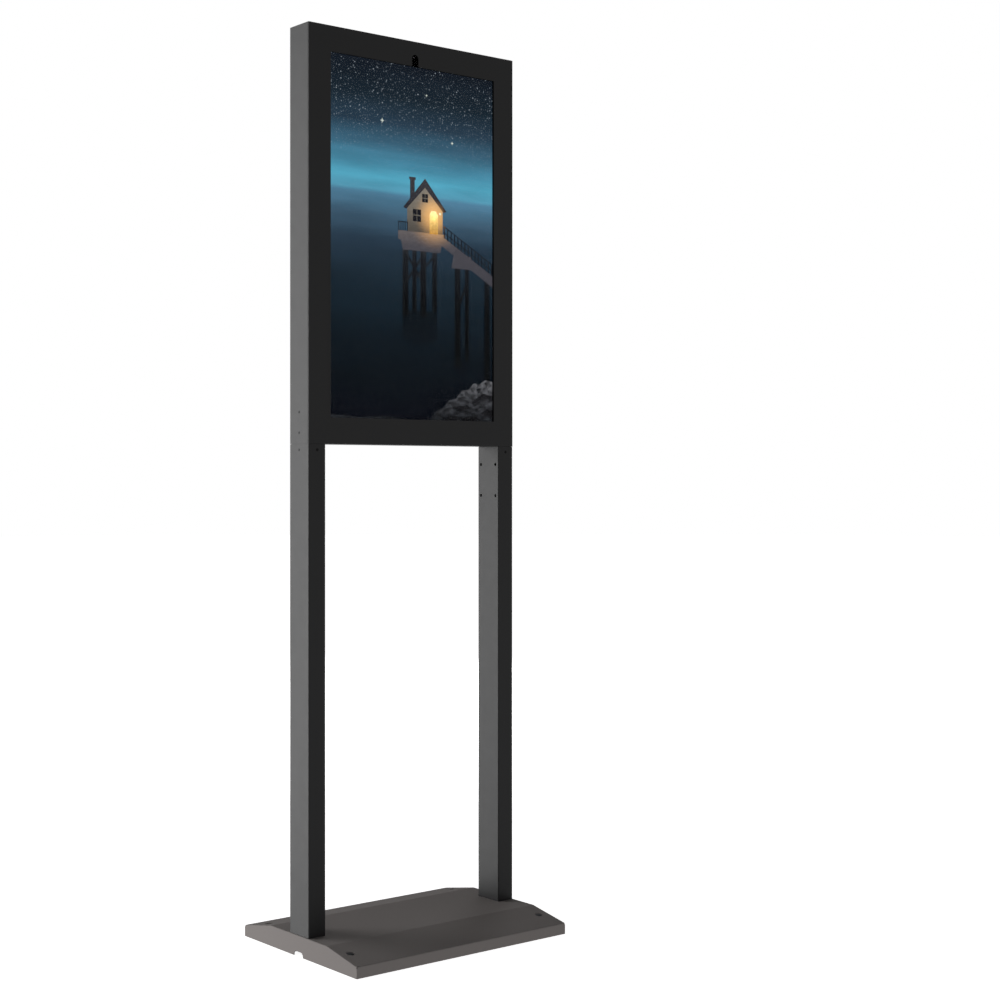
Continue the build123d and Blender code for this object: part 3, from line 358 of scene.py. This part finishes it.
# ---- Screen ---------------------------------------------------------------------------------
# The liquid crystal cell in its pressed frame. What it shows is a night view over calm water: a
# glow beyond the horizon, stars, and a small boathouse at the end of a timber jetty.
cell_face = plain_finish("cell_face", (0.004, 0.004, 0.005), (0.007, 0.007, 0.008), 0.3, 0.4, 90.0, 0.00001)
dress(cell_face, "lcd_cell")
film_low, film_high = corners("touch_film")
side_margin, end_margin, cell_gap = 0.0003, 0.0002, 0.00002
view_left, view_right = film_low[0] + side_margin, film_high[0] - side_margin
view_low, view_high = film_low[2] + end_margin, film_high[2] - end_margin
view_plane = corners("lcd_cell")[0][1] - cell_gap
layer_step, sheet_thickness = 0.00006, 0.00004


def across(part):
    """Place across the screen, 0 at its left edge and 1 at its right."""
    return view_left + part * (view_right - view_left)


def down(part):
    """Place down the screen, 0 at its top edge and 1 at its foot."""
    return view_high - part * (view_high - view_low)


def slab(form, outline, layer):
    """A closed sheet of one layer of the view, from an outline of (across, down) points."""
    far = view_plane - layer_step * layer
    near = far - sheet_thickness
    front = [form.verts.new((across(u), near, down(v))) for u, v in outline]
    back = [form.verts.new((across(u), far, down(v))) for u, v in outline]
    form.faces.new(front)
    form.faces.new(back[::-1])
    for at in range(len(outline)):
        after = (at + 1) % len(outline)
        form.faces.new((front[at], back[at], back[after], front[after]))


def height_in_view(tree):
    """0 at the foot of the screen and 1 at its top; also the place, and its three parts."""
    place = tree.nodes.new("ShaderNodeTexCoord")
    parts = tree.nodes.new("ShaderNodeSeparateXYZ")
    level = tree.nodes.new("ShaderNodeMapRange")
    level.inputs["From Min"].default_value = view_low
    level.inputs["From Max"].default_value = view_high
    tree.links.new(place.outputs["Object"], parts.inputs["Vector"])
    tree.links.new(parts.outputs["Z"], level.inputs["Value"])
    return level.outputs["Result"], place.outputs["Object"], parts


def calc(tree, operation, first, second):
    """One step of arithmetic on two factors."""
    node = tree.nodes.new("ShaderNodeMath")
    node.operation = operation
    node.use_clamp = operation == "MULTIPLY"
    for socket, value in zip(node.inputs, (first, second)):
        if isinstance(value, float):
            socket.default_value = value
        else:
            tree.links.new(value, socket)
    return node.outputs["Value"]


def layered(tree, mode, amount, under, over):
    """One colour laid on another."""
    node = tree.nodes.new("ShaderNodeMix")
    node.data_type = "RGBA"
    node.blend_type = mode
    for socket, value in ((node.inputs["Factor"], amount), (node.inputs[6], under), (node.inputs[7], over)):
        if isinstance(value, (float, tuple)):
            socket.default_value = value
        else:
            tree.links.new(value, socket)
    return node.outputs[2]


def shown(name, stops, lumps, stretch, lamp=None, reach=0.03, drift=0.25):
    """Light of one layer of the view: tones by height, a little texture, and a lamp's warmth."""
    material, tree, shader = node_material(name)
    level, place, parts = height_in_view(tree)
    colour = ramp(tree, level, *stops)
    grain = ramp(tree, noise(tree, lumps, 5.0, stretch), (0.3, (1 - drift,) * 3), (0.7, (1 + drift,) * 3))
    colour = layered(tree, "MULTIPLY", 1.0, colour, grain)
    if lamp:
        gap = tree.nodes.new("ShaderNodeVectorMath")
        gap.operation = "DISTANCE"
        gap.inputs[1].default_value = (across(lamp[0]), view_plane, down(lamp[1]))
        tree.links.new(place, gap.inputs[0])
        near = tree.nodes.new("ShaderNodeMapRange")
        near.interpolation_type = "SMOOTHERSTEP"
        near.inputs["From Min"].default_value = reach
        near.inputs["From Max"].default_value = 0.0
        tree.links.new(gap.outputs["Value"], near.inputs["Value"])
        colour = layered(tree, "ADD", near.outputs["Result"], colour, (0.75, 0.36, 0.07, 1.0))
    shader.inputs["Base Color"].default_value = (0.0, 0.0, 0.0, 1.0)
    shader.inputs["Specular IOR Level"].default_value = 0.0
    tree.links.new(colour, shader.inputs["Emission Color"])
    shader.inputs["Emission Strength"].default_value = 1.06
    return material, tree, shader, colour, level, place, parts


night_view, tree, shader, colour, level, place, parts = shown(
    "night_view",
    [(0.00, (0.0018, 0.0024, 0.0052)), (0.12, (0.0022, 0.0040, 0.0068)), (0.22, (0.0034, 0.0070, 0.0115)),
     (0.32, (0.0062, 0.0140, 0.0230)), (0.42, (0.0110, 0.0225, 0.0360)), (0.50, (0.0210, 0.0410, 0.0670)),
     (0.57, (0.0480, 0.1000, 0.1560)), (0.630, (0.0800, 0.2050, 0.3150)), (0.641, (0.0950, 0.3300, 0.4700)),
     (0.675, (0.0850, 0.3650, 0.5100)), (0.715, (0.0650, 0.2500, 0.3700)), (0.77, (0.0420, 0.1180, 0.1850)),
     (0.83, (0.0225, 0.0460, 0.0740)), (0.90, (0.0110, 0.0210, 0.0320)), (1.00, (0.0075, 0.0110, 0.0180))],
    16.0, (0.35, 1.0, 2.6), drift=0.14)
flat = tree.nodes.new("ShaderNodeCombineXYZ")
tree.links.new(parts.outputs["X"], flat.inputs["X"])
tree.links.new(parts.outputs["Z"], flat.inputs["Y"])
star_edge, starless_share, star_range = 7.0, 0.76, 4.1
first_stars, full_stars = 0.68, 0.86
for cells, size, light in ((185.0, 0.23, 0.36), (95.0, 0.14, 0.66)):
    stars = tree.nodes.new("ShaderNodeTexVoronoi")
    stars.voronoi_dimensions = "2D"
    stars.inputs["Scale"].default_value = cells
    tree.links.new(flat.outputs["Vector"], stars.inputs["Vector"])
    point = calc(tree, "SUBTRACT", size, stars.outputs["Distance"])
    point = calc(tree, "MULTIPLY", calc(tree, "MAXIMUM", point, 0.0), star_edge)
    chance = tree.nodes.new("ShaderNodeSeparateColor")
    tree.links.new(stars.outputs["Color"], chance.inputs["Color"])
    some = calc(tree, "SUBTRACT", chance.outputs["Red"], starless_share)
    some = calc(tree, "MULTIPLY", calc(tree, "MAXIMUM", some, 0.0), star_range)
    point = calc(tree, "MULTIPLY", point, some)
    high = tree.nodes.new("ShaderNodeMapRange")
    high.inputs["From Min"].default_value = first_stars
    high.inputs["From Max"].default_value = full_stars
    tree.links.new(level, high.inputs["Value"])
    point = calc(tree, "MULTIPLY", calc(tree, "MULTIPLY", point, high.outputs["Result"]), light)
    colour = layered(tree, "ADD", point, colour, (0.80, 0.90, 1.00, 1.0))
tree.links.new(colour, shader.inputs["Emission Color"])
night = bmesh.new()
slab(night, [(0.0, 1.0), (1.0, 1.0), (1.0, 0.0), (0.0, 0.0)], 0)
piece("view_sky_and_water", night, night_view, smooth=False)

bright_stars = bmesh.new()
waist, height_to_width = 0.34, 1.75
for u, v, size in ((0.31, 0.165, 0.0075), (0.74, 0.20, 0.0060), (0.58, 0.075, 0.0045)):
    tips = []
    for step in range(8):
        reach = size if step % 2 == 0 else size * waist
        turn = step * math.pi / 4
        tips.append((u + reach * math.sin(turn) * height_to_width, v - reach * math.cos(turn)))
    slab(bright_stars, tips, 1)
star_light = shown("star_light", [(0.0, (0.50, 0.56, 0.50)), (1.0, (0.62, 0.68, 0.62))], 300.0, (1, 1, 1))[0]
piece("view_bright_stars", bright_stars, star_light, smooth=False)

# The boathouse of the view: boarded walls under a gabled roof, a lit doorway with a lamp beside it,
# and a chimney; the jetty runs from its platform to the right on paired piles.
lamp_place = (0.625, 0.415)
jetty_start, jetty_fall = 0.66, 0.3118
pile_light = shown("pile_light", [(0.15, (0.0015, 0.0018, 0.0022)), (0.33, (0.0022, 0.0026, 0.0032)),
                                  (0.46, (0.0100, 0.0115, 0.0150)), (0.53, (0.0500, 0.0490, 0.0540))],
                   220.0, (1.0, 1.0, 0.2), lamp_place, 0.05, 0.4)[0]
half_brace = 0.008
piles = bmesh.new()
for u, foot, wide in ((0.450, 0.705, 0.036), (0.505, 0.690, 0.026), (0.560, 0.705, 0.036),
                      (0.630, 0.688, 0.030), (0.775, 0.845, 0.036), (0.835, 0.825, 0.026),
                      (0.965, 0.910, 0.034)):
    head = 0.49 if u < jetty_start else 0.486 + (u - jetty_start) * jetty_fall
    left, right = u - wide / 2, u + wide / 2
    slab(piles, [(left, foot), (u - wide / 6, foot + 0.004), (right, foot), (right, head), (left, head)], 2)
for low_u, high_u, low_v, high_v in ((0.455, 0.560, 0.61, 0.53), (0.560, 0.455, 0.61, 0.53),
                                     (0.505, 0.630, 0.60, 0.53), (0.775, 0.835, 0.68, 0.60)):
    slab(piles, [(low_u - half_brace, low_v), (low_u + half_brace, low_v),
                 (high_u + half_brace, high_v), (high_u - half_brace, high_v)], 3)
piece("view_piles", piles, pile_light, smooth=False)

wake_light = shown("wake_light", [(0.08, (0.0020, 0.0030, 0.0058)), (0.20, (0.0022, 0.0040, 0.0070)),
                                  (0.31, (0.0028, 0.0055, 0.0085))], 60.0, (1, 1, 4), drift=0.2)[0]
wake = bmesh.new()
for left, right, head, foot in ((0.432, 0.645, 0.690, 0.800), (0.757, 0.848, 0.825, 0.885),
                                (0.948, 0.982, 0.905, 0.930)):
    ripple = [(right - (right - left) * step / 12, foot - 0.018 * (step % 2) - 0.02 * abs(step - 6) / 6)
              for step in range(13)]
    slab(wake, [(left, head), (right, head)] + ripple, 1)
piece("view_pile_shadows", wake, wake_light, smooth=False)

deck_light = shown("deck_light", [(0.38, (0.052, 0.050, 0.062)), (0.49, (0.070, 0.066, 0.078)),
                                  (0.53, (0.125, 0.110, 0.112))],
                   400.0, (0.3, 1.0, 3.0), lamp_place, 0.075, 0.3)[0]
deck = bmesh.new()
slab(deck, [(0.405, 0.492), (0.695, 0.492), (0.695, 0.466), (0.405, 0.466)], 4)
slab(deck, [(0.66, 0.494), (1.0, 0.606), (1.0, 0.572), (0.66, 0.466)], 4)
slab(deck, [(0.735, 0.560), (0.875, 0.560), (0.860, 0.522), (0.750, 0.522)], 3)
slab(deck, [(0.435, 0.520), (0.665, 0.520), (0.680, 0.488), (0.420, 0.488)], 3)
piece("view_deck", deck, deck_light, smooth=False)

rail_light = shown("rail_light", [(0.38, (0.006, 0.006, 0.008)), (0.56, (0.010, 0.010, 0.012))],
                   500.0, (1, 1, 1), lamp_place, 0.045)[0]
railing = bmesh.new()
half_post, post_height, post_pitch = 0.0032, 0.034, 0.0218
for at in range(15):
    u = 0.69 + post_pitch * at
    foot = 0.468 + (u - jetty_start) * jetty_fall
    left, right = u - half_post, u + half_post
    slab(railing, [(left, foot), (right, foot), (right, foot - post_height), (left, foot - post_height)], 5)
for rise in (0.015, 0.033):
    slab(railing, [(0.685, 0.476 - rise), (1.0, 0.5742 - rise),
                   (1.0, 0.5712 - rise), (0.685, 0.473 - rise)], 5)
for at in range(5):
    u = 0.408 + 0.0135 * at
    left, right = u - 0.0022, u + 0.0022
    slab(railing, [(left, 0.467), (right, 0.467), (right, 0.440), (left, 0.440)], 5)
slab(railing, [(0.405, 0.443), (0.465, 0.443), (0.465, 0.4405), (0.405, 0.4405)], 5)
piece("view_railing", railing, rail_light, smooth=False)

wall_light = shown("wall_light", [(0.53, (0.075, 0.066, 0.058)), (0.60, (0.170, 0.150, 0.125)),
                                  (0.66, (0.230, 0.205, 0.170))],
                   700.0, (0.25, 1.0, 2.5), lamp_place, 0.055, 0.3)[0]
walls = bmesh.new()
slab(walls, [(0.460, 0.468), (0.680, 0.468), (0.680, 0.385), (0.570, 0.322), (0.460, 0.385)], 4)
piece("view_boathouse_walls", walls, wall_light, smooth=False)
roof_light = shown("roof_light", [(0.58, (0.020, 0.020, 0.026)), (0.70, (0.050, 0.048, 0.056))],
                   500.0, (1, 1, 3), lamp_place, 0.035, 0.35)[0]
roof = bmesh.new()
slab(roof, [(0.436, 0.400), (0.455, 0.404), (0.570, 0.338), (0.570, 0.312)], 6)
slab(roof, [(0.704, 0.400), (0.685, 0.404), (0.570, 0.338), (0.570, 0.312)], 6)
slab(roof, [(0.478, 0.376), (0.506, 0.361), (0.506, 0.318), (0.478, 0.318)], 5)
slab(roof, [(0.472, 0.320), (0.512, 0.320), (0.512, 0.312), (0.472, 0.312)], 6)
piece("view_boathouse_roof", roof, roof_light, smooth=False)
dark_light = shown("dark_light", [(0.0, (0.010, 0.010, 0.013)), (1.0, (0.014, 0.014, 0.018))],
                   300.0, (1, 1, 1))[0]
openings = bmesh.new()
slab(openings, [(0.495, 0.437), (0.545, 0.437), (0.545, 0.402), (0.495, 0.402)], 5)
slab(openings, [(0.552, 0.380), (0.588, 0.380), (0.588, 0.356), (0.552, 0.356)], 5)
piece("view_boathouse_windows", openings, dark_light, smooth=False)
bars_light = shown("bars_light", [(0.55, (0.130, 0.115, 0.095)), (0.65, (0.20, 0.18, 0.15))],
                   300.0, (1, 1, 1))[0]
bars = bmesh.new()
for left, right, low, high in ((0.495, 0.545, 0.4205, 0.4180), (0.5185, 0.5215, 0.437, 0.402),
                               (0.552, 0.588, 0.3690, 0.3672), (0.5688, 0.5712, 0.380, 0.356)):
    slab(bars, [(left, low), (right, low), (right, high), (left, high)], 6)
piece("view_window_bars", bars, bars_light, smooth=False)
door_light = shown("door_light", [(0.53, (0.55, 0.26, 0.05)), (0.57, (0.95, 0.62, 0.20)),
                                  (0.60, (1.0, 0.82, 0.45))],
                   200.0, (1, 1, 1), lamp_place, 0.02, 0.2)[0]
doorway = bmesh.new()
slab(doorway, [(0.598, 0.468), (0.650, 0.468), (0.650, 0.412),
               (0.638, 0.402), (0.610, 0.402), (0.598, 0.412)], 5)
piece("view_doorway", doorway, door_light, smooth=False)
lamp_light = shown("lamp_light", [(0.0, (1.0, 0.86, 0.55)), (1.0, (1.0, 0.90, 0.60))], 300.0, (1, 1, 1))[0]
lamp = bmesh.new()
angles = [step * math.tau / 12 for step in range(12)]
slab(lamp, [(0.664 + 0.007 * math.cos(angle), 0.408 + 0.004 * math.sin(angle)) for angle in angles], 6)
piece("view_lamp", lamp, lamp_light, smooth=False)

# Rocks at the foot of the view, in the near right corner, and a low shore on the left.
rock_light = shown("rock_light", [(0.0, (0.008, 0.009, 0.011)), (0.06, (0.036, 0.037, 0.042)),
                                  (0.12, (0.090, 0.090, 0.098))], 80.0, (1, 1, 1.6), drift=0.85)[0]
shade_light = shown("rock_shade", [(0.0, (0.005, 0.005, 0.006)), (0.13, (0.016, 0.016, 0.019))],
                    90.0, (1, 1, 1.6), drift=0.6)[0]
rocks = bmesh.new()
slab(rocks, [(0.60, 1.0), (1.0, 1.0), (1.0, 0.883), (0.955, 0.878), (0.915, 0.892), (0.880, 0.889),
             (0.845, 0.908), (0.800, 0.912), (0.765, 0.936), (0.720, 0.941), (0.690, 0.962),
             (0.640, 0.972)], 3)
slab(rocks, [(0.0, 1.0), (0.46, 1.0), (0.40, 0.994), (0.31, 0.991), (0.18, 0.995), (0.0, 0.989)], 3)
piece("view_rocks", rocks, rock_light, smooth=False)
clefts = bmesh.new()
slab(clefts, [(0.86, 0.945), (0.885, 0.957), (0.955, 0.932), (1.0, 0.941), (1.0, 0.925), (0.94, 0.918)], 4)
slab(clefts, [(0.74, 0.962), (0.775, 0.975), (0.855, 0.962), (0.835, 0.952)], 4)
slab(clefts, [(0.69, 1.0), (0.93, 1.0), (0.90, 0.984), (0.81, 0.989), (0.72, 0.984)], 4)
slab(clefts, [(0.925, 0.977), (1.0, 0.990), (1.0, 0.968), (0.965, 0.962)], 4)
slab(clefts, [(0.895, 0.905), (0.91, 0.918), (0.93, 0.902)], 4)
piece("view_rock_clefts", clefts, shade_light, smooth=False)

# ---- Backlight ------------------------------------------------------------------------------
# A pressed tray behind the cell with four strips of lamps on white boards, and a stack of milky
# sheets in front of them that spreads their light.
milky_sheet = plain_finish("milky_sheet", (0.72, 0.73, 0.74), (0.80, 0.80, 0.80), 0.55, 0.4, 60.0, 0.00001)
dress(milky_sheet, "diffuser_stack", "led_strips")

# ---- Main board and touch board ---------------------------------------------------------------
# Two green boards on plated standoffs, with white sockets, moulded chips, small capacitors and a
# coin cell. Copper runs show faintly through the lacquer.
board_lacquer, tree, shader = node_material("board_lacquer")
runs = tree.nodes.new("ShaderNodeTexBrick")
runs.inputs["Scale"].default_value = 130.0
runs.inputs["Color1"].default_value = (0.006, 0.050, 0.022, 1.0)
runs.inputs["Color2"].default_value = (0.008, 0.064, 0.030, 1.0)
runs.inputs["Mortar"].default_value = (0.020, 0.110, 0.050, 1.0)
runs.inputs["Mortar Size"].default_value = 0.03
place = tree.nodes.new("ShaderNodeTexCoord")
lie = tree.nodes.new("ShaderNodeMapping")
lie.inputs["Rotation"].default_value = (math.radians(90.0), 0.0, 0.0)
tree.links.new(place.outputs["Object"], lie.inputs["Vector"])
tree.links.new(lie.outputs["Vector"], runs.inputs["Vector"])
tree.links.new(runs.outputs["Color"], shader.inputs["Base Color"])
tree.links.new(spread(tree, noise(tree, 300.0), 0.25, 0.38), shader.inputs["Roughness"])
relief(tree, shader, noise(tree, 700.0), 0.00002)
dress(board_lacquer, "main_board", "touch_controller")
nylon = plain_finish("nylon", (0.62, 0.60, 0.54), (0.72, 0.70, 0.64), 0.45, 0.4, 300.0, 0.00002)
dress(nylon, "board_connectors")
aluminium = plated_steel("extruded_aluminium", (0.42, 0.42, 0.43), 0.42, 120.0)
dress(aluminium, "heat_sink")
board_face = corners("main_board")[1][1]


def moulded(form, middle, size, edge=0.0003):
    """A moulded block with broken edges, laid on the board: width, depth off the board, height."""
    made = bmesh.ops.create_cube(form, size=1.0)
    bmesh.ops.scale(form, vec=size, verts=made["verts"])
    bmesh.ops.translate(form, vec=middle, verts=made["verts"])
    around = [edge_line for edge_line in form.edges if all(end in made["verts"] for end in edge_line.verts)]
    bmesh.ops.bevel(form, geom=around, offset=edge, segments=2, affect="EDGES")


chips = bmesh.new()
chip_legs = bmesh.new()
chip_height, leg_height, leg_reach, row_inset = 0.0014, 0.0007, 0.0004, 0.0016
for x, z, wide, tall, pins in ((-0.047, 1.470, 0.012, 0.009, 9), (-0.047, 1.456, 0.012, 0.009, 9),
                               (-0.026, 1.470, 0.012, 0.009, 9), (-0.026, 1.456, 0.012, 0.009, 9),
                               (-0.134, 1.431, 0.014, 0.014, 11), (-0.020, 1.428, 0.010, 0.006, 6),
                               (0.098, 1.372, 0.010, 0.010, 9), (0.124, 1.366, 0.006, 0.005, 4)):
    moulded(chips, (x, board_face + chip_height / 2, z), (wide, chip_height, tall))
    for pin in range(pins):
        step = (pin - (pins - 1) / 2) * (wide - row_inset) / (pins - 1)
        for side in (-1, 1):
            leg_middle = (x + step, board_face + leg_height / 2, z + side * (tall / 2 + leg_reach))
            moulded(chip_legs, leg_middle, (0.0004, leg_height, 0.0010), 0.00005)
chip_black = plain_finish("chip_black", (0.010, 0.010, 0.011), (0.018, 0.018, 0.019), 0.5, 0.4, 900.0,
                          0.00002)
piece("board_chips", chips, chip_black)
tin = plated_steel("tinned_pin", (0.62, 0.62, 0.60), 0.3, 500.0)
piece("board_chip_legs", chip_legs, tin)

cans = bmesh.new()
for x, z, radius, tall in ((-0.142, 1.478, 0.0032, 0.0058), (-0.133, 1.478, 0.0032, 0.0058),
                           (-0.108, 1.420, 0.0040, 0.0080), (-0.097, 1.420, 0.0040, 0.0080),
                           (-0.068, 1.424, 0.0025, 0.0050), (0.076, 1.380, 0.0025, 0.0050)):
    turned(cans, (x, board_face, z), (0.0, 1.0, 0.0),
           [(radius * 1.05, 0.0), (radius * 1.05, 0.0010), (radius, 0.0012), (radius * 0.93, 0.0016),
            (radius, 0.0021), (radius, tall - 0.0003), (radius * 0.9, tall),
            (radius * 0.3, tall + 0.0001)], 28)
piece("board_capacitors", cans, aluminium)
coin_cell = bmesh.new()
turned(coin_cell, (-0.134, board_face, 1.455), (0.0, 1.0, 0.0),
       [(0.0088, 0.0), (0.0100, 0.0004), (0.0100, 0.0024), (0.0094, 0.0028), (0.0085, 0.0030),
        (0.0010, 0.0030)], 40)
piece("board_coin_cell", coin_cell, tin)
coils = bmesh.new()
coil_height = 0.0040
for x, z in ((-0.060, 1.440), (-0.022, 1.441), (-0.121, 1.412)):
    moulded(coils, (x, board_face + coil_height / 2, z), (0.0070, coil_height, 0.0070), 0.0008)
piece("board_coils", coils, chip_black)
small_parts = bmesh.new()
part_length, part_width, part_height, broken_edge = 0.0016, 0.0008, 0.0006, 0.0001
scatter = random.Random(7)
for count in range(64):
    x = scatter.choice((-0.145, -0.120, -0.062, -0.034, -0.008)) + scatter.uniform(0.0, 0.006)
    z = scatter.choice((1.440, 1.446, 1.4855, 1.4885, 1.4235, 1.417)) + scatter.uniform(-0.0008, 0.0008)
    along = scatter.random() < 0.5
    size = (part_length, part_height, part_width) if along else (part_width, part_height, part_length)
    moulded(small_parts, (x, board_face + part_height / 2, z), size, broken_edge)
ceramic = plain_finish("ceramic_chip", (0.22, 0.16, 0.10), (0.34, 0.26, 0.17), 0.45, 0.4, 900.0, 0.00001)
piece("board_small_parts", small_parts, ceramic)

# ---- Power supply ---------------------------------------------------------------------------
# A folded zinc case with a slotted lid that four domed screws hold, and a small green lamp on the
# lid that lights while it runs.
dress(zinc_plate, "power_supply")
supply_low, supply_high = corners("power_supply")
supply_back = supply_high[1]
screw_inset = 0.007
lid_screws = bmesh.new()
for x in (supply_low[0] + screw_inset, supply_high[0] - screw_inset):
    for z in (supply_low[2] + screw_inset, supply_high[2] - screw_inset):
        turned(lid_screws, (x, supply_back, z), (0.0, 1.0, 0.0),
               [(0.0030, -0.0002), (0.0030, 0.0006), (0.0024, 0.0013), (0.0012, 0.0016),
                (0.0008, 0.0010)], 28)
piece("supply_screws", lid_screws, tin)
running_lamp = bmesh.new()
turned(running_lamp, (supply_high[0] - 0.020, supply_back, supply_high[2] - 0.012), (0.0, 1.0, 0.0),
       [(0.0015, -0.0002), (0.0015, 0.0004), (0.0012, 0.0009), (0.0005, 0.0011)], 24)
green_lamp = plain_finish("green_lamp", (0.02, 0.30, 0.06), (0.03, 0.42, 0.09), 0.2, 0.5, 500.0, 0.00001)
piece("supply_lamp", running_lamp, green_lamp)

# ---- Speakers -------------------------------------------------------------------------------
# Two flat moulded boxes behind the lower rails. Each has a rolled rubber surround and a paper cone
# with a domed cap, set in the round recess of its face.
cone_paper = plain_finish("cone_paper", (0.016, 0.016, 0.017), (0.030, 0.030, 0.031), 0.8, 0.2, 900.0, 0.0001)
recess_depth, recess_rise = 0.0030, 0.054
for name in ("left", "right"):
    low, high = corners("speaker_" + name)
    middle = ((low[0] + high[0]) / 2, high[1] - recess_depth, low[2] + recess_rise)
    surround_roll = bmesh.new()
    turned(surround_roll, middle, (0.0, 1.0, 0.0),
           [(0.0178, -0.0001), (0.0178, 0.0008), (0.0172, 0.0017), (0.0160, 0.0023), (0.0148, 0.0017),
            (0.0142, 0.0006), (0.0135, 0.0001)], 56)
    piece("speaker_surround_" + name, surround_roll, pad_rubber)
    cone = bmesh.new()
    turned(cone, middle, (0.0, 1.0, 0.0),
           [(0.0140, 0.0001), (0.0140, 0.0012), (0.0120, 0.0007), (0.0085, 0.0004)], 56)
    piece("speaker_cone_" + name, cone, cone_paper)
    cap = bmesh.new()
    turned(cap, middle, (0.0, 1.0, 0.0),
           [(0.0074, 0.0012), (0.0073, 0.0020), (0.0062, 0.0025), (0.0040, 0.0028), (0.0012, 0.0029)], 48)
    piece("speaker_cap_" + name, cap, cone_paper)

# ---- Mains inlet and switch -------------------------------------------------------------------
# A three-pin inlet and a rocker switch in a zinc bracket by the cabinet's foot. The rocker is
# moulded in the same black as its housing.
dress(black_moulding, "switch_rocker")

# ---- Inner leads ------------------------------------------------------------------------------
# Black-jacketed round leads from the inlet to the supply and on to the boards and speakers, and
# two flat ribbon cables to the screen and the touch film.
jacket = plain_finish("lead_jacket", (0.010, 0.010, 0.010), (0.019, 0.019, 0.019), 0.5, 0.35, 350.0, 0.00004)
dress(jacket, "mains_lead", "board_leads")
ribbon = plain_finish("ribbon_cable", (0.36, 0.37, 0.38), (0.46, 0.47, 0.48), 0.45, 0.35, 400.0, 0.00002)
dress(ribbon, "panel_cable", "touch_cable")

# ---- Hinge pins and keeper ----------------------------------------------------------------------
# Plated pins through the door's lower returns, hidden inside the cabinet, and the bent keeper at
# its top that the cam turns behind.
dress(zinc_plate, "hinge_pins", "lock_keeper", "lock_cam", "lock_screw", "lock_nut")

# ---- Cam lock -------------------------------------------------------------------------------
# A chromed die-cast body through the door with a broad flat head, and a cylinder with a key slot.
# The barrel is threaded for its nut.
chrome, tree, shader = node_material("chrome")
shader.inputs["Metallic"].default_value = 1.0
tree.links.new(ramp(tree, noise(tree, 500.0), (0.3, (0.86, 0.86, 0.87)), (0.7, (0.93, 0.93, 0.93))),
               shader.inputs["Base Color"])
tree.links.new(spread(tree, noise(tree, 900.0), 0.16, 0.24), shader.inputs["Roughness"])
relief(tree, shader, noise(tree, 2500.0), 0.000005)
dress(chrome, "lock_cylinder")
lock_low, lock_high = corners("lock_body")
lock_height = (lock_low[2] + lock_high[2]) / 2
door_outer = corners("rear_door")[1][1]
head_radius = lock_high[0]
head_rise = lock_high[1] - door_outer
plug_gap = 0.00606
barrel_radius = 0.0095
thread_pitch, thread_depth, thread_turns = 0.0012, 0.0005, 9
lock_form = bmesh.new()
steps = 96
profile = [(plug_gap, 0.0186), (barrel_radius - 0.0006, 0.0186), (barrel_radius, 0.0192)]
for turn_at in range(thread_turns):
    start = 0.0198 + turn_at * thread_pitch
    profile += [(barrel_radius, start), (barrel_radius - thread_depth, start + thread_pitch / 2)]
profile += [(barrel_radius, 0.0310), (barrel_radius, door_outer), (head_radius - 0.0002, door_outer),
            (head_radius, door_outer + 0.0003), (head_radius, door_outer + head_rise - 0.0008),
            (head_radius - 0.0003, door_outer + head_rise - 0.0003),
            (head_radius - 0.0009, door_outer + head_rise),
            (0.0082, door_outer + head_rise), (0.0078, door_outer + head_rise - 0.0002),
            (0.0066, door_outer + head_rise - 0.0002), (plug_gap, door_outer + head_rise - 0.0005)]
rings = []
angles = [step * math.tau / steps for step in range(steps)]
for radius, level in profile:
    rings.append([lock_form.verts.new((radius * math.cos(angle), level,
                                       lock_height + radius * math.sin(angle))) for angle in angles])
for low, high in zip(rings, rings[1:] + rings[:1]):
    for step in range(steps):
        after = (step + 1) % steps
        lock_form.faces.new((low[step], low[after], high[after], high[step]))
lock_piece = piece("lock_threaded_body", lock_form, chrome, "door")
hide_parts("lock_body")
